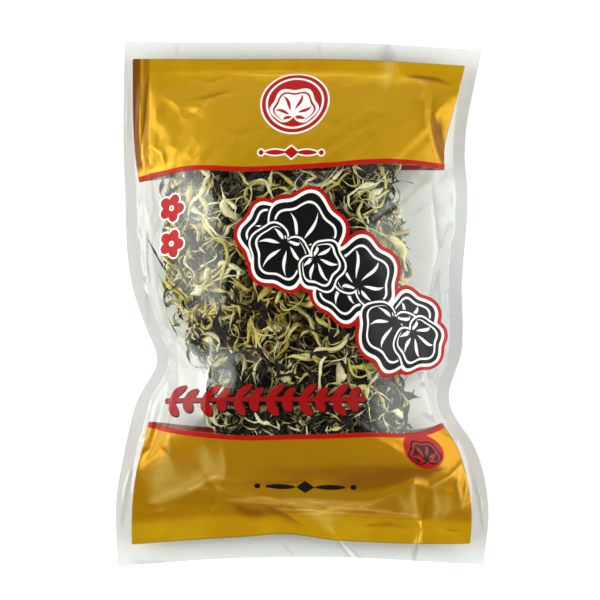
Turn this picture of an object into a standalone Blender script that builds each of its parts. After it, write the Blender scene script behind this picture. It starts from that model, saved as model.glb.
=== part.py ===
"""A sealed clear film packet of dried, shredded wood ear mushroom, lying on its back.

Metres, +Z up. X runs across the packet, Y along it towards its top seal. The origin is on
the surface that the packet lies on, under the middle of its outline.
"""

import math
import random

import bmesh
import bpy
from mathutils import Vector, noise

# Driving dimensions of the packet.
LENGTH = 0.274
HALF_WIDTH = 0.096  # of the empty ends
THICKNESS = 0.048  # through the filled middle, film to film
SEAM_HEIGHT = 0.014  # where the front and back film meet, above the surface
END_DROOP = 0.006  # the empty ends hang this much below the seam
CORNER_DROOP = 0.0025  # and the corners this much more
END_RIPPLE = 0.0011
END_RIPPLE_SPACING = 0.017  # across the packet, for each radian of the ripple
TOP_RIPPLE_PHASE = 1.2
BOTTOM_RIPPLE_PHASE = 3.9
TOP_SEAL = 0.016  # from the top edge to the end of the seal
BOTTOM_SEAL = 0.024
SIDE_SEAL = 0.008
FILM = 0.0006  # solid wall that stands for the thin film
SEAM_GAP = 0.0003  # kept between the two films where they meet

# How fast the film rises from each seal to the full height.
END_RISE = 0.033
SIDE_RISE = 0.024
BACK_FLATTENING = 1.7  # above 1 the back lies flat over more of its area
BACK_SHOULDER = 1.6  # above 1 the back film meets the surface softly

# Where the film's four edges run. The filling draws the sides in to a waist, deepest low on
# the left and right, and the ends stay nearly as wide as the flat packet.
LEFT_EDGE = (
    (-0.137, -0.0962),
    (-0.100, -0.0963),
    (-0.075, -0.0918),
    (-0.050, -0.0855),
    (-0.029, -0.0752),
    (-0.013, -0.0806),
    (0.004, -0.0866),
    (0.064, -0.0920),
    (0.137, -0.0926),
)
RIGHT_EDGE = (
    (-0.137, 0.0946),
    (-0.106, 0.0970),
    (-0.076, 0.0905),
    (-0.051, 0.0765),
    (-0.024, 0.0828),
    (0.010, 0.0830),
    (0.056, 0.0860),
    (0.080, 0.0846),
    (0.137, 0.0948),
)
TOP_EDGE = ((-0.097, 0.1368), (-0.040, 0.1364), (0.030, 0.1360), (0.097, 0.1322))
BOTTOM_EDGE = ((-0.097, -0.1370), (-0.045, -0.1328), (0.010, -0.1318), (0.097, -0.1360))

# The grid that both films are drawn on, finer towards the seals.
ACROSS = 16
ALONG = 24
EDGE_CROWDING = 0.5

# The heap of strips inside.
HEAP_CENTRE = Vector((-0.005, -0.001))
HEAP_HALF = Vector((0.066, 0.080))
HEAP_SQUARENESS = 3.2
HEAP_WAVES = ((3, 0.035, 0.7), (7, 0.020, 0.0))  # of its outline: how many, how deep, where
HEAP_SIDE_SHARE = 1.02  # of the outline, halfway up the heap's side
HEAP_BASE_SHARES = (0.97, 0.50)
HEAP_RINGS = 8
HEAP_SPOKES = 30
HEAP_TOP_GAP = 0.0112  # room above the heap for the loose strips on top
HEAP_BASE_GAP = 0.0022
HEAP_LUMP = 0.0012
HEAP_LUMP_SPACING = 0.011

# The curled strips. The loose ones lie crossed, in two levels under the front film, and the
# sunk ones stand half out of the heap.
LOOSE_COUNT = 55
SUNK_COUNT = 18
STRIP_WIDTH = 0.0025
STRIP_DEPTH = 0.0009
STRIP_TAPER = 0.45  # of a strip's width, lost towards its ends
LOOSE_STATIONS = 9
SUNK_STATIONS = 6
STRIP_LENGTHS = (0.022, 0.056)
STRIP_TURN = 3.2  # the most that half a strip curls, in radians
LOOSE_TWIST = 1.2 * math.pi  # the most that a strip twists from end to end
SUNK_TWIST = 0.3 * math.pi
LOOSE_LEANS = (-0.6, 0.6)  # how a strip leans at its first end
SUNK_LEANS = (0.7, 1.3)
LOOSE_LEVELS = (0.0027, 0.0065)  # from the front film down to a strip's middle line
SUNK_RISE = 0.0004  # of a sunk strip's middle line above the heap
STRIP_CLEARANCE = 0.0037  # between the middle lines of two strips
STRIP_REACH = 0.95  # of the heap's outline
STRIP_TRIES = 20000
SEED = 7

# Each finish: its colour, its roughness and how opaque it is.
CLEAR_FILM = (0.86, 0.89, 0.87), 0.12, 0.3
PALE_FLESH = (0.62, 0.55, 0.34), 0.75, 1.0
DARK_SKIN = (0.028, 0.024, 0.016), 0.45, 1.0
SHARP_ANGLE = math.radians(40)


def through(points, at):
    """The value at a place on a smooth curve through a few (place, value) points."""
    last = len(points) - 1
    at = min(max(at, points[0][0]), points[last][0])
    i = max(k for k in range(last) if points[k][0] <= at)

    def slope(k):
        low, high = points[max(k - 1, 0)], points[min(k + 1, last)]
        return (high[1] - low[1]) / (high[0] - low[0])

    (x0, y0), (x1, y1) = points[i], points[i + 1]
    width = x1 - x0
    t = (at - x0) / width
    rise_out = (t**3 - 2 * t**2 + t) * width * slope(i)
    rise_in = (t**3 - t**2) * width * slope(i + 1)
    return (2 * t**3 - 3 * t**2 + 1) * y0 + rise_out + (3 * t**2 - 2 * t**3) * y1 + rise_in


def rise(distance, length):
    """0 at a seal, 1 far inside."""
    return 1 - math.exp(-max(distance, 0.0) / length)


def swell(x, y):
    """How far the filling parts the films: 0 on the seals and about 1 in the middle."""
    left = through(LEFT_EDGE, y)
    right = through(RIGHT_EDGE, y)
    top = through(TOP_EDGE, x)
    bottom = through(BOTTOM_EDGE, x)
    across = rise(x - left - SIDE_SEAL, SIDE_RISE) * rise(right - SIDE_SEAL - x, SIDE_RISE)
    along = rise(y - bottom - BOTTOM_SEAL, END_RISE) * rise(top - TOP_SEAL - y, END_RISE)
    return across * along


def seam_height(x, y):
    """The level at which the films meet: lower, and a little wavy, towards the ends."""
    out = min(abs(y) / (LENGTH / 2), 1.0)
    aside = abs(x) / HALF_WIDTH
    phase = TOP_RIPPLE_PHASE if y > 0 else BOTTOM_RIPPLE_PHASE
    ripple = END_RIPPLE * out**4 * math.sin(x / END_RIPPLE_SPACING + phase)
    return SEAM_HEIGHT - END_DROOP * out**3 - CORNER_DROOP * out**6 * aside**4 + ripple


FULL_SWELL = swell(*HEAP_CENTRE)
DOME = THICKNESS - FILM - SEAM_HEIGHT


def front_height(x, y):
    """The inner face of the front film."""
    return seam_height(x, y) + SEAM_GAP / 2 + DOME * swell(x, y) / FULL_SWELL


def back_height(x, y):
    """The inner face of the back film, which lies flat on the surface in the middle."""
    settled = min(BACK_FLATTENING * swell(x, y) / FULL_SWELL, 1.0)
    level = seam_height(x, y) - SEAM_GAP / 2
    return FILM + (level - FILM) * (1 - settled) ** BACK_SHOULDER


def finish_mesh(name, bm, materials, smooth=True):
    """Turns a bmesh into a named object with its materials."""
    mesh = bpy.data.meshes.new(name)
    bmesh.ops.triangulate(bm, faces=bm.faces)
    bmesh.ops.recalc_face_normals(bm, faces=bm.faces)
    bm.to_mesh(mesh)
    bm.free()
    for material in materials:
        mesh.materials.append(material)
    if smooth:
        mesh.shade_smooth()
        mesh.set_sharp_from_angle(angle=SHARP_ANGLE)
    obj = bpy.data.objects.new(name, mesh)
    bpy.context.scene.collection.objects.link(obj)
    return obj


def material(name, finish):
    colour, roughness, alpha = finish
    made = bpy.data.materials.new(name)
    made.use_nodes = True
    shader = made.node_tree.nodes["Principled BSDF"]
    shader.inputs["Base Color"].default_value = (*colour, 1)
    shader.inputs["Roughness"].default_value = roughness
    shader.inputs["Alpha"].default_value = alpha
    made.diffuse_color = (*colour, alpha)
    return made


def crowded(i, count):
    """Places from 0 to 1 that lie closer together near both ends."""
    even = i / count
    return even + EDGE_CROWDING * ((1 - math.cos(math.pi * even)) / 2 - even)


def film_point(across, along):
    """A place on the packet's outline grid, seen from above."""
    y = LENGTH * (along - 0.5)
    left = through(LEFT_EDGE, y)
    x = left + (through(RIGHT_EDGE, y) - left) * across
    bottom = through(BOTTOM_EDGE, x)
    return x, bottom + (through(TOP_EDGE, x) - bottom) * along


def film(name, height, outward, finish):
    """One film of the packet: a sheet over its whole outline, thickened away from the filling."""
    bm = bmesh.new()
    rows = []
    for j in range(ALONG + 1):
        row = []
        for i in range(ACROSS + 1):
            x, y = film_point(crowded(i, ACROSS), crowded(j, ALONG))
            row.append(bm.verts.new((x, y, height(x, y))))
        rows.append(row)
    for low, high in zip(rows, rows[1:]):
        for i in range(ACROSS):
            corners = (low[i], low[i + 1], high[i + 1], high[i])
            bm.faces.new(corners if outward > 0 else corners[::-1])
    mesh = bpy.data.meshes.new(name)
    bm.to_mesh(mesh)
    bm.free()
    mesh.materials.append(finish)
    mesh.shade_smooth()
    obj = bpy.data.objects.new(name, mesh)
    bpy.context.scene.collection.objects.link(obj)
    wall = obj.modifiers.new("film", "SOLIDIFY")
    wall.thickness = FILM
    wall.offset = 1
    return obj


def heap_outline(angle, share):
    """A place in the heap seen from above, on the ring at this share of its outline."""
    c, s = math.cos(angle), math.sin(angle)
    reach = (abs(c) ** HEAP_SQUARENESS + abs(s) ** HEAP_SQUARENESS) ** (-1 / HEAP_SQUARENESS)
    ragged = 1 + sum(deep * math.sin(count * angle + phase) for count, deep, phase in HEAP_WAVES)
    return HEAP_CENTRE + Vector((HEAP_HALF.x * c, HEAP_HALF.y * s)) * (reach * ragged * share)


def heap_base(x, y):
    return back_height(x, y) + HEAP_BASE_GAP


def heap_top(x, y):
    lump = noise.noise(Vector((x, y, 0.3)) / HEAP_LUMP_SPACING) * HEAP_LUMP
    return max(front_height(x, y) - HEAP_TOP_GAP + lump, heap_base(x, y) + HEAP_LUMP)


def heap_side(x, y):
    return (heap_base(x, y) + heap_top(x, y)) / 2


def heap(finish, sunk):
    """The tangle as one solid, from the back film to under the loose strips.

    The sunk strips are joined to it, so that curls stand out of its top.
    """
    bm = bmesh.new()

    def ring(share, level):
        made = []
        for k in range(HEAP_SPOKES):
            place = heap_outline(2 * math.pi * k / HEAP_SPOKES, share)
            made.append(bm.verts.new((place.x, place.y, level(place.x, place.y))))
        return made

    shares = [math.sin(0.5 * math.pi * (i + 1) / HEAP_RINGS) for i in range(HEAP_RINGS)]
    rings = [ring(share, heap_top) for share in shares]
    rings.append(ring(HEAP_SIDE_SHARE, heap_side))
    rings += [ring(share, heap_base) for share in HEAP_BASE_SHARES]
    for outer, inner in zip(rings, rings[1:]):
        for k in range(HEAP_SPOKES):
            n = (k + 1) % HEAP_SPOKES
            bm.faces.new((outer[k], outer[n], inner[n], inner[k]))
    for closing, level in ((rings[0], heap_top), (rings[-1], heap_base)):
        centre = bm.verts.new((*HEAP_CENTRE, level(*HEAP_CENTRE)))
        for k in range(HEAP_SPOKES):
            bm.faces.new((closing[k], closing[(k + 1) % HEAP_SPOKES], centre))
    made = finish_mesh("shredded_heap", bm, [finish], smooth=False)
    join = made.modifiers.new("sunk strips", "BOOLEAN")
    join.operation = "UNION"
    join.solver = "MANIFOLD"
    join.object = sunk
    return made


def strip_line(chance, stations):
    """The middle line of one curled strip, seen from above, about its own middle."""
    length = chance.uniform(*STRIP_LENGTHS)
    turns = [chance.uniform(-STRIP_TURN, STRIP_TURN) for _ in range(2)]
    heading = chance.uniform(0, 2 * math.pi)
    step = length / (stations - 1)
    place = Vector((0, 0))
    line = [place.copy()]
    for k in range(stations - 1):
        along = k / (stations - 2)
        blend = along * along * (3 - 2 * along)
        turn = turns[0] * (1 - blend) + turns[1] * blend
        heading += turn * 2 / (stations - 1)
        place = place + Vector((math.cos(heading), math.sin(heading))) * step
        line.append(place.copy())
    middle = sum(line, Vector((0, 0))) / len(line)
    return [p - middle for p in line]


def inside_heap(place):
    """True where a place seen from above lies over the heap."""
    offset = place - HEAP_CENTRE
    angle = math.atan2(offset.y / HEAP_HALF.y, offset.x / HEAP_HALF.x)
    return offset.length < (heap_outline(angle, STRIP_REACH) - HEAP_CENTRE).length


def near(line, other, skip=0):
    """True if two middle lines come too close.

    A line is held against itself with a skip: points that are as near along it don't count.
    """
    return any(
        (p - q).length <= STRIP_CLEARANCE and not (skip and abs(i - j) <= skip)
        for i, p in enumerate(line)
        for j, q in enumerate(other)
    )


def scattered_lines(count, stations, levels, chance):
    """Middle lines of curled strips, none touching another, over the heap at these levels."""
    lines = []
    for _ in range(STRIP_TRIES):
        if len(lines) == count:
            break
        shift = Vector(
            (chance.uniform(-1, 1) * HEAP_HALF.x, chance.uniform(-1, 1) * HEAP_HALF.y)
        )
        flat = [p + HEAP_CENTRE + shift for p in strip_line(chance, stations)]
        if not all(inside_heap(p) for p in flat):
            continue
        level = chance.choice(levels)
        line = [Vector((p.x, p.y, level(p.x, p.y))) for p in flat]
        step = (line[1] - line[0]).length
        if near(line, line, skip=math.ceil(STRIP_CLEARANCE / step) + 1):
            continue
        if not any(near(line, other) for other in lines):
            lines.append(line)
    return lines


def add_strip(bm, line, twist, lean):
    """Adds one curled strip: a flat ribbon that turns about its own middle line."""
    last = len(line) - 1
    sections = []
    for k, place in enumerate(line):
        along = (line[min(k + 1, last)] - line[max(k - 1, 0)]).normalized()
        side = along.cross(Vector((0, 0, 1))).normalized()
        up = side.cross(along)
        angle = lean + twist * k / last
        wide = side * math.cos(angle) + up * math.sin(angle)
        flat = wide.cross(along)
        taper = 1 - STRIP_TAPER * abs(2 * k / last - 1) ** 3
        w = wide * STRIP_WIDTH / 2 * taper
        d = flat * STRIP_DEPTH / 2
        sections.append([bm.verts.new(place + s) for s in (w + d, d - w, -w - d, w - d)])
    for low, high in zip(sections, sections[1:]):
        for i in range(4):
            n = (i + 1) % 4
            face = bm.faces.new((low[i], low[n], high[n], high[i]))
            face.material_index = 1 if i == 2 else 0  # one broad side keeps its dark skin
    bm.faces.new(sections[0])
    bm.faces.new(sections[-1])


def below_film(depth):
    def level(x, y):
        return front_height(x, y) - depth

    return level


def on_heap(x, y):
    return heap_top(x, y) + SUNK_RISE


def sunk_strips(chance, finishes):
    """The strips that stand half out of the heap, as one helper for the heap's union."""
    bm = bmesh.new()
    for line in scattered_lines(SUNK_COUNT, SUNK_STATIONS, [on_heap], chance):
        add_strip(bm, line, chance.uniform(-SUNK_TWIST, SUNK_TWIST), chance.uniform(*SUNK_LEANS))
    helper = finish_mesh("sunk_strips", bm, finishes)
    helper.hide_render = True
    helper.display_type = "WIRE"
    return helper


def main():
    for obj in list(bpy.data.objects):
        bpy.data.objects.remove(obj)

    clear = material("clear film", CLEAR_FILM)
    pale = material("pale underside", PALE_FLESH)
    dark = material("dark skin", DARK_SKIN)

    film("front_film", front_height, 1, clear)
    film("back_film", back_height, -1, clear)
    chance = random.Random(SEED)
    heap(dark, sunk_strips(chance, [pale, dark]))
    levels = [below_film(depth) for depth in LOOSE_LEVELS]
    lines = scattered_lines(LOOSE_COUNT, LOOSE_STATIONS, levels, chance)
    for number, line in enumerate(lines, start=1):
        bm = bmesh.new()
        add_strip(bm, line, chance.uniform(-LOOSE_TWIST, LOOSE_TWIST), chance.uniform(*LOOSE_LEANS))
        finish_mesh(f"strip_{number:02d}", bm, [pale, dark])


main()
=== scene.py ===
# %% [markdown]
# # A packet of dried, shredded wood ear
# The object is a flat pouch of clear film, welded shut on all four sides and printed with a gold
# band at each end. Through the clear middle you see the filling: hundreds of dried strips of
# wood ear, black skinned on one side and cream on the other.
#
# The fixed frame gives the size and the place of everything. This script dresses it in four
# steps: it strews the strips, lets two simulated films settle over and under them, sweeps the
# strips as ribbons, and prints the film. All lengths are in metres unless a name or a comment
# says millimetres.

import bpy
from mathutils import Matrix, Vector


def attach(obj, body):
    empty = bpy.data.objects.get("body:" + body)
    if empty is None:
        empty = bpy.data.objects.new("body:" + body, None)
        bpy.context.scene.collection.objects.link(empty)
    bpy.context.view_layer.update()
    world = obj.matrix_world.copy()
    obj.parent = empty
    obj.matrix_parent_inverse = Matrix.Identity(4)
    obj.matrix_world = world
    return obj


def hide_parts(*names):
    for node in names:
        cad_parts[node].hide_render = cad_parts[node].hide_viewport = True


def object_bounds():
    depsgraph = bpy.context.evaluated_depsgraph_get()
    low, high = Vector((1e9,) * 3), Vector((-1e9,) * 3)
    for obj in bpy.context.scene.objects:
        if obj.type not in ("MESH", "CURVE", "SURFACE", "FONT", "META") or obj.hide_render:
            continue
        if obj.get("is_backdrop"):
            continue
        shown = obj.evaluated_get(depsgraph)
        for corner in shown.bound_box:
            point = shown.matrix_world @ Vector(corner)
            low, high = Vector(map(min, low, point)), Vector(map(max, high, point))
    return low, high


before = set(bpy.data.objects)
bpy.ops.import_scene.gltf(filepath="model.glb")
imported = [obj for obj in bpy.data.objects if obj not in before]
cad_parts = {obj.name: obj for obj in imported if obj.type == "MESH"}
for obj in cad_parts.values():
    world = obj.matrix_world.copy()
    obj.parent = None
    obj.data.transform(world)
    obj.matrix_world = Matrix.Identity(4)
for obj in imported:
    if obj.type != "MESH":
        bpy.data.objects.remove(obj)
cad_low, cad_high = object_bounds()
print("nodes in the frame:", len(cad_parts))

# %% Tools that the rest needs
import math

import bpy
import numpy as np
from mathutils import Vector
from mathutils.bvhtree import BVHTree

MM = 0.001
TINY, FAR = 0.001, 1e9        # less and more than any length on the packet, in millimetres
scene = bpy.context.scene


def in_mm(metres):
    """A length in millimetres, to print."""
    return round(float(metres) / MM, 1)


def placed(name, data):
    """A new object in the scene that holds a mesh, a lamp or a camera."""
    holder = bpy.data.objects.new(name, data)
    scene.collection.objects.link(holder)
    return holder


def keep(mesh, name, values):
    """Keeps one number for each of the mesh's points, for a shader or a tree to read."""
    kept = mesh.attributes.new(name, "FLOAT", "POINT")
    kept.data.foreach_set("value", values.astype(np.float32))


def points_of(mesh):
    """Every point's place, as a table of x, y and z."""
    places = np.zeros(len(mesh.vertices) * 3)
    mesh.vertices.foreach_get("co", places)
    return places.reshape(-1, 3)


def move_points(mesh, places):
    mesh.vertices.foreach_set("co", places.ravel())
    mesh.update()


def plain_piece(name, maker, *helpers):
    """What an object's modifiers make of it, as a plain mesh object; the object itself goes."""
    made = bpy.data.meshes.new_from_object(maker.evaluated_get(bpy.context.evaluated_depsgraph_get()))
    for helper in (maker, *helpers):
        bpy.data.objects.remove(helper)
    made.name = name
    return placed(name, made)


print("frame box, mm:", [in_mm(b - a) for a, b in zip(cad_low, cad_high)])

# %% [markdown]
# ## Camera
# The packet lies on its back and is seen from straight above, with its top seal at the top of
# the picture. A long lens from far away keeps the packet's raised middle from growing, so the
# picture has almost the look of a flat scan. The lens follows from the width that the view has
# to take in at the level of the packet's rim.

# %% Make the camera
CAMERA_HEIGHT = 1.6
RIM_HEIGHT = 0.011
VIEW_WIDTH = 0.312
VIEW_CENTRE = (-0.001, 0.0021)
SENSOR_WIDTH = 36.0

camera = placed("camera", bpy.data.cameras.new("camera"))
camera.data.sensor_width = SENSOR_WIDTH
camera.data.lens = SENSOR_WIDTH * (CAMERA_HEIGHT - RIM_HEIGHT) / VIEW_WIDTH
camera.location = (*VIEW_CENTRE, CAMERA_HEIGHT)
scene.camera = camera
print("lens, mm:", round(camera.data.lens, 1))

# %% [markdown]
# ## Studio
# Clear film shows mostly what it mirrors. Two tall softboxes stand left and right, so that the
# sloping flanks of the packet carry a soft white veil while its flat top stays clear. A twin at
# the same place, which no mirror shows, gives the rest of each box's light: with it the veil and
# the brightness of the filling can be set apart. A weak, wide key light from the left draws the
# folds. The air around is pale, brightest past the packet's top and dim below its foot, with a
# darker opening straight above, where the camera looks in.

# %% Lay the floor and hang the lights
SOFTBOX_SIZE = (1.0, 1.3)
SOFTBOX_RADIANCE = 2.0                    # as the film mirrors their middle
SOFTBOX_FADE = 0.20                       # how soft their rims are, up to 0.25
FILL_RADIANCE = 4.3                       # and what they add that no mirror shows
SOFTBOXES = {"left_softbox": (-0.95, 0.05, 0.63), "right_softbox": (0.98, -0.05, 0.60)}
SURROUND_LIGHT = 0.32
SURROUND_TILT = 0.55                      # how much brighter the air is behind, and dimmer in front
SURROUND_REACH = 0.6                      # how far back in the sky it is brightest
OPENING_LIGHT = 0.04
OPENING_FROM, OPENING_TO = 0.55, 0.88     # how far up the sky the dark opening starts and is full
KEY_FROM = (-0.80, 0.35, 0.60)
KEY_LIGHT = 0.4                           # watts a square metre
KEY_WIDTH = math.radians(32)              # how wide the key light looks


def towards_middle(place):
    """The turn that makes a lamp at a place look at the packet's middle."""
    return (-Vector(place)).to_track_quat("-Z", "Y").to_euler()


def softbox(name, place, radiance, mirrored):
    """A large flat lamp; its power follows from its radiance."""
    lamp = bpy.data.lights.new(name, "AREA")
    lamp.shape = "RECTANGLE"
    lamp.size, lamp.size_y = SOFTBOX_SIZE
    lamp.energy = radiance * math.pi * SOFTBOX_SIZE[0] * SOFTBOX_SIZE[1]
    holder = placed(name, lamp)
    holder.location = place
    holder.rotation_euler = towards_middle(place)
    holder.visible_glossy = mirrored


for name, place in SOFTBOXES.items():
    softbox(name, place, SOFTBOX_RADIANCE, True)
    softbox(name + "_fill", place, FILL_RADIANCE, False)

key = bpy.data.lights.new("key", "SUN")
key.energy, key.angle = KEY_LIGHT, KEY_WIDTH
placed("key", key).rotation_euler = towards_middle(KEY_FROM)
world = bpy.data.worlds.new("studio_air")
scene.world = world
scene.view_settings.view_transform = "Standard"
print("lamps:", 2 * len(SOFTBOXES) + 1)

# %% [markdown]
# ## Writing shaders as sums
# A node tree is hard to read as a list of links. One small class wraps a socket and overloads
# the signs, so that `1 - mask * 0.5` adds its own Math nodes. A second class makes any other
# node from its type, its settings and what goes into its sockets.

# %% Wrap a socket and make nodes


def by(operation, *between):
    """A method that adds a Math node; its inputs are the amount, what stands between and the other."""
    def method(self, *others):
        inputs = dict(enumerate((self, *between, *others)))
        return self.recipe.add("ShaderNodeMath", {"operation": operation}, inputs)

    return method


class Amount:
    """One number in a shader that may change from place to place."""

    def __init__(self, recipe, socket):
        self.recipe = recipe
        self.socket = socket

    __add__ = __radd__ = by("ADD")
    __sub__ = by("SUBTRACT")
    __rsub__ = by("MULTIPLY_ADD", -1.0)
    __mul__ = __rmul__ = by("MULTIPLY")
    __pow__ = by("POWER")
    larger = by("MAXIMUM")
    smaller = by("MINIMUM")
    unsigned = by("ABSOLUTE")

    def rising(self, low, high):
        """0 below low, 1 above high and smooth between; high may be the smaller one."""
        settings = {"interpolation_type": "SMOOTHSTEP"}
        sockets = {"Value": self, "From Min": low, "From Max": high}
        return self.recipe.add("ShaderNodeMapRange", settings, sockets)


class Recipe:
    """A material's node tree, and the one method that adds a node to it."""

    def __init__(self, name, owner=None):
        self.owner = owner or bpy.data.materials.new(name)
        self.owner.use_nodes = True
        self.tree = self.owner.node_tree
        self.tree.nodes.clear()

    def add(self, kind, settings=None, sockets=None, output=0):
        node = self.tree.nodes.new(kind)
        for key, value in (settings or {}).items():
            setattr(node, key, value)
        for key, value in (sockets or {}).items():
            if isinstance(value, Amount):
                self.tree.links.new(value.socket, node.inputs[key])
            else:
                node.inputs[key].default_value = value
        return Amount(self, node.outputs[output])

    def stored(self, name):
        """A number that the piece's own mesh carries from point to point."""
        return self.add("ShaderNodeAttribute", {"attribute_name": name}, output="Fac")

    def grain(self, size, where=None, detail=2.0):
        """Soft random spots, from about 0 to 1, that are size across."""
        where = where or self.add("ShaderNodeTexCoord", output="Object")
        sockets = {"Vector": where, "Scale": 1 / size, "Detail": detail}
        return self.add("ShaderNodeTexNoise", sockets=sockets)

    def blend(self, share, under, over):
        """One colour laid over another, by share."""
        colours = {0: share, 6: as_colour(under), 7: as_colour(over)}
        return self.add("ShaderNodeMix", {"data_type": "RGBA"}, colours, output=2)

    def bump(self, height, reach, strength=1.0):
        sockets = {"Height": height, "Distance": reach, "Strength": strength}
        return self.add("ShaderNodeBump", sockets=sockets)

    def surface(self, **sockets):
        named = {key.replace("_", " "): value for key, value in sockets.items()}
        return self.add("ShaderNodeBsdfPrincipled", sockets=named)

    def finish(self, shader, kind="ShaderNodeOutputMaterial"):
        out = self.tree.nodes.new(kind)
        self.tree.links.new(shader.socket, out.inputs["Surface"])
        return self.owner


def as_colour(value):
    return value if isinstance(value, Amount) else (*value, 1)


def ink(*screen):
    """A printed colour, given as the 0 to 255 values of a screen, as the light that it sends back."""
    return tuple(((c / 255 + 0.055) / 1.055) ** 2.4 if c > 10 else c / 3300 for c in screen)


print("a mid grey is", round(ink(128, 128, 128)[0], 3), "as light")

# %% Colour the floor, the air and the boxes
FLOOR_SIZE, FLOOR_LEVEL = 6.0, -0.0003
FLOOR_GLOW = 0.27             # what the bare floor adds, so that no grey shadow rings the packet
FLOOR_SPOTS, FLOOR_SPOT_SHARE = 0.4, 0.3
FLOOR_WHITE, FLOOR_GREY = (0.98, 0.98, 0.98), (0.95, 0.95, 0.95)
UNLIT, LIT = (0, 0, 0), (1, 1, 1)


def floor_finish():
    recipe = Recipe("pale_floor")
    shade = recipe.blend(recipe.grain(FLOOR_SPOTS) * FLOOR_SPOT_SHARE, FLOOR_WHITE, FLOOR_GREY)
    films_passed = recipe.add("ShaderNodeLightPath", output="Transparent Depth")
    return recipe.finish(recipe.surface(
        Base_Color=shade,
        Roughness=0.7,
        Emission_Color=recipe.blend((1 - films_passed).larger(0), UNLIT, LIT),
        Emission_Strength=FLOOR_GLOW,
    ))


def air_finish():
    recipe = Recipe("studio_air", world)
    towards = recipe.add("ShaderNodeTexCoord", output="Generated")
    height = recipe.add("ShaderNodeSeparateXYZ", sockets={0: towards}, output="Z")
    behind = recipe.add("ShaderNodeSeparateXYZ", sockets={0: towards}, output="Y")
    tilt = (behind * (SURROUND_TILT / SURROUND_REACH)).smaller(SURROUND_TILT).larger(-SURROUND_TILT)
    around = SURROUND_LIGHT * (1 + tilt)
    opening = height.rising(OPENING_FROM, OPENING_TO)
    light = around * (1 - opening) + opening * OPENING_LIGHT
    sky = recipe.add("ShaderNodeBackground", sockets={"Strength": light})
    recipe.finish(sky, "ShaderNodeOutputWorld")


def box_finish(lamp):
    """A cloth box is brightest in its middle and fades towards its rim."""
    recipe = Recipe(lamp.name, lamp)
    where = recipe.add("ShaderNodeNewGeometry", output="Parametric")
    sides = [recipe.add("ShaderNodeSeparateXYZ", sockets={0: where}, output=axis) for axis in "XY"]
    across, along = [(side * (1 - side)).rising(0, SOFTBOX_FADE) for side in sides]
    glow = recipe.add("ShaderNodeEmission", sockets={"Strength": across * along})
    recipe.finish(glow, "ShaderNodeOutputLight")


for name in SOFTBOXES:
    box_finish(bpy.data.lights[name])

floor_mesh = bpy.data.meshes.new("floor")
half = FLOOR_SIZE / 2
floor_corners = [(x * half, y * half, FLOOR_LEVEL) for x, y in ((-1, -1), (1, -1), (1, 1), (-1, 1))]
floor_mesh.from_pydata(floor_corners, [], [(0, 1, 2, 3)])
floor = placed("floor", floor_mesh)
floor.data.materials.append(floor_finish())
floor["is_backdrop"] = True
air_finish()
print("floor, m:", FLOOR_SIZE)

# %% [markdown]
# ## The room between the films
# The two film solids of the frame say how much room the filling has. A ray straight down on the
# front film and one straight up on the back film measure it anywhere. In the welded rim the two
# films meet halfway between the solids' outer faces.

# %% Measure the room
PROBE = 0.2
WELD_GAP = 0.0002
IN_THE_WELD = (cad_low.x + 0.008, 0.110)


def outer_faces(front, back):
    """A function that gives the heights of the front's upper and the back's lower face, or None."""
    depsgraph = bpy.context.evaluated_depsgraph_get()
    depsgraph.update()
    front_probe, back_probe = (BVHTree.FromObject(piece, depsgraph) for piece in (front, back))

    def faces(x, y):
        above = front_probe.ray_cast((x, y, PROBE), (0, 0, -1))[0]
        below = back_probe.ray_cast((x, y, -PROBE), (0, 0, 1))[0]
        return (above.z, below.z) if above and below else None

    return faces


solid_faces = outer_faces(*(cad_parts[node] for node in ("front_film", "back_film")))
rim_high, rim_low = solid_faces(*IN_THE_WELD)
SKIN = (rim_high - rim_low - WELD_GAP) / 2
print("rim thickness of the solids, mm:", in_mm(rim_high - rim_low))

# %% [markdown]
# ## Maps
# Heaps and films are easiest to reason about as maps of heights: a table with one height for each
# small square, seen from above. Three helpers do all the work: one blurs a map, one spreads its
# highest values, and one reads it anywhere between the squares.

# %% Set up maps of heights
MAP_CELL = 0.0008
MAP_LOW = np.array((-0.090, -0.098))
MAP_HIGH = np.array((0.076, 0.094))
MAP_SHAPE = tuple(int(n) for n in np.ceil((MAP_HIGH - MAP_LOW) / MAP_CELL))
ASIDE = 0.00002               # a ray that slips through an edge is sent again this far aside


def spread(values, reach):
    """A map blurred over reach cells each way."""
    bell = np.hanning(2 * reach + 3)[1:-1]
    bell /= bell.sum()
    for axis in (0, 1):
        values = np.apply_along_axis(np.convolve, axis, np.pad(values, reach, mode="edge"), bell, "same")
        values = values[reach:-reach, reach:-reach]
    return values


def crest(values, reach):
    """The highest value within reach cells."""
    for axis in (0, 1):
        values = np.max([np.roll(values, shift, axis) for shift in range(-reach, reach + 1)], axis=0)
    return values


def read_map(values, x, y):
    """The map's value at x, y, from its four nearest cells."""
    place = (np.stack((x, y), -1) - MAP_LOW) / MAP_CELL - 0.5
    place = np.clip(place, 0, np.array(MAP_SHAPE) - 1.001)
    cell = place.astype(int)
    i, j = cell[..., 0], cell[..., 1]
    u, v = (place - cell)[..., 0], (place - cell)[..., 1]
    near = values[i, j] * (1 - u) + values[i + 1, j] * u
    far = values[i, j + 1] * (1 - u) + values[i + 1, j + 1] * u
    return near * (1 - v) + far * v


def mapped(measure):
    """Two maps, filled by a function that gives two heights for a place, or None."""
    first, second = np.zeros(MAP_SHAPE), np.zeros(MAP_SHAPE)
    for i, j in np.ndindex(MAP_SHAPE):
        x, y = MAP_LOW + (np.array((i, j)) + 0.5) * MAP_CELL
        first[i, j], second[i, j] = measure(x, y) or measure(x + ASIDE, y + ASIDE) or (0.0, 0.0)
    return first, second


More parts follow.
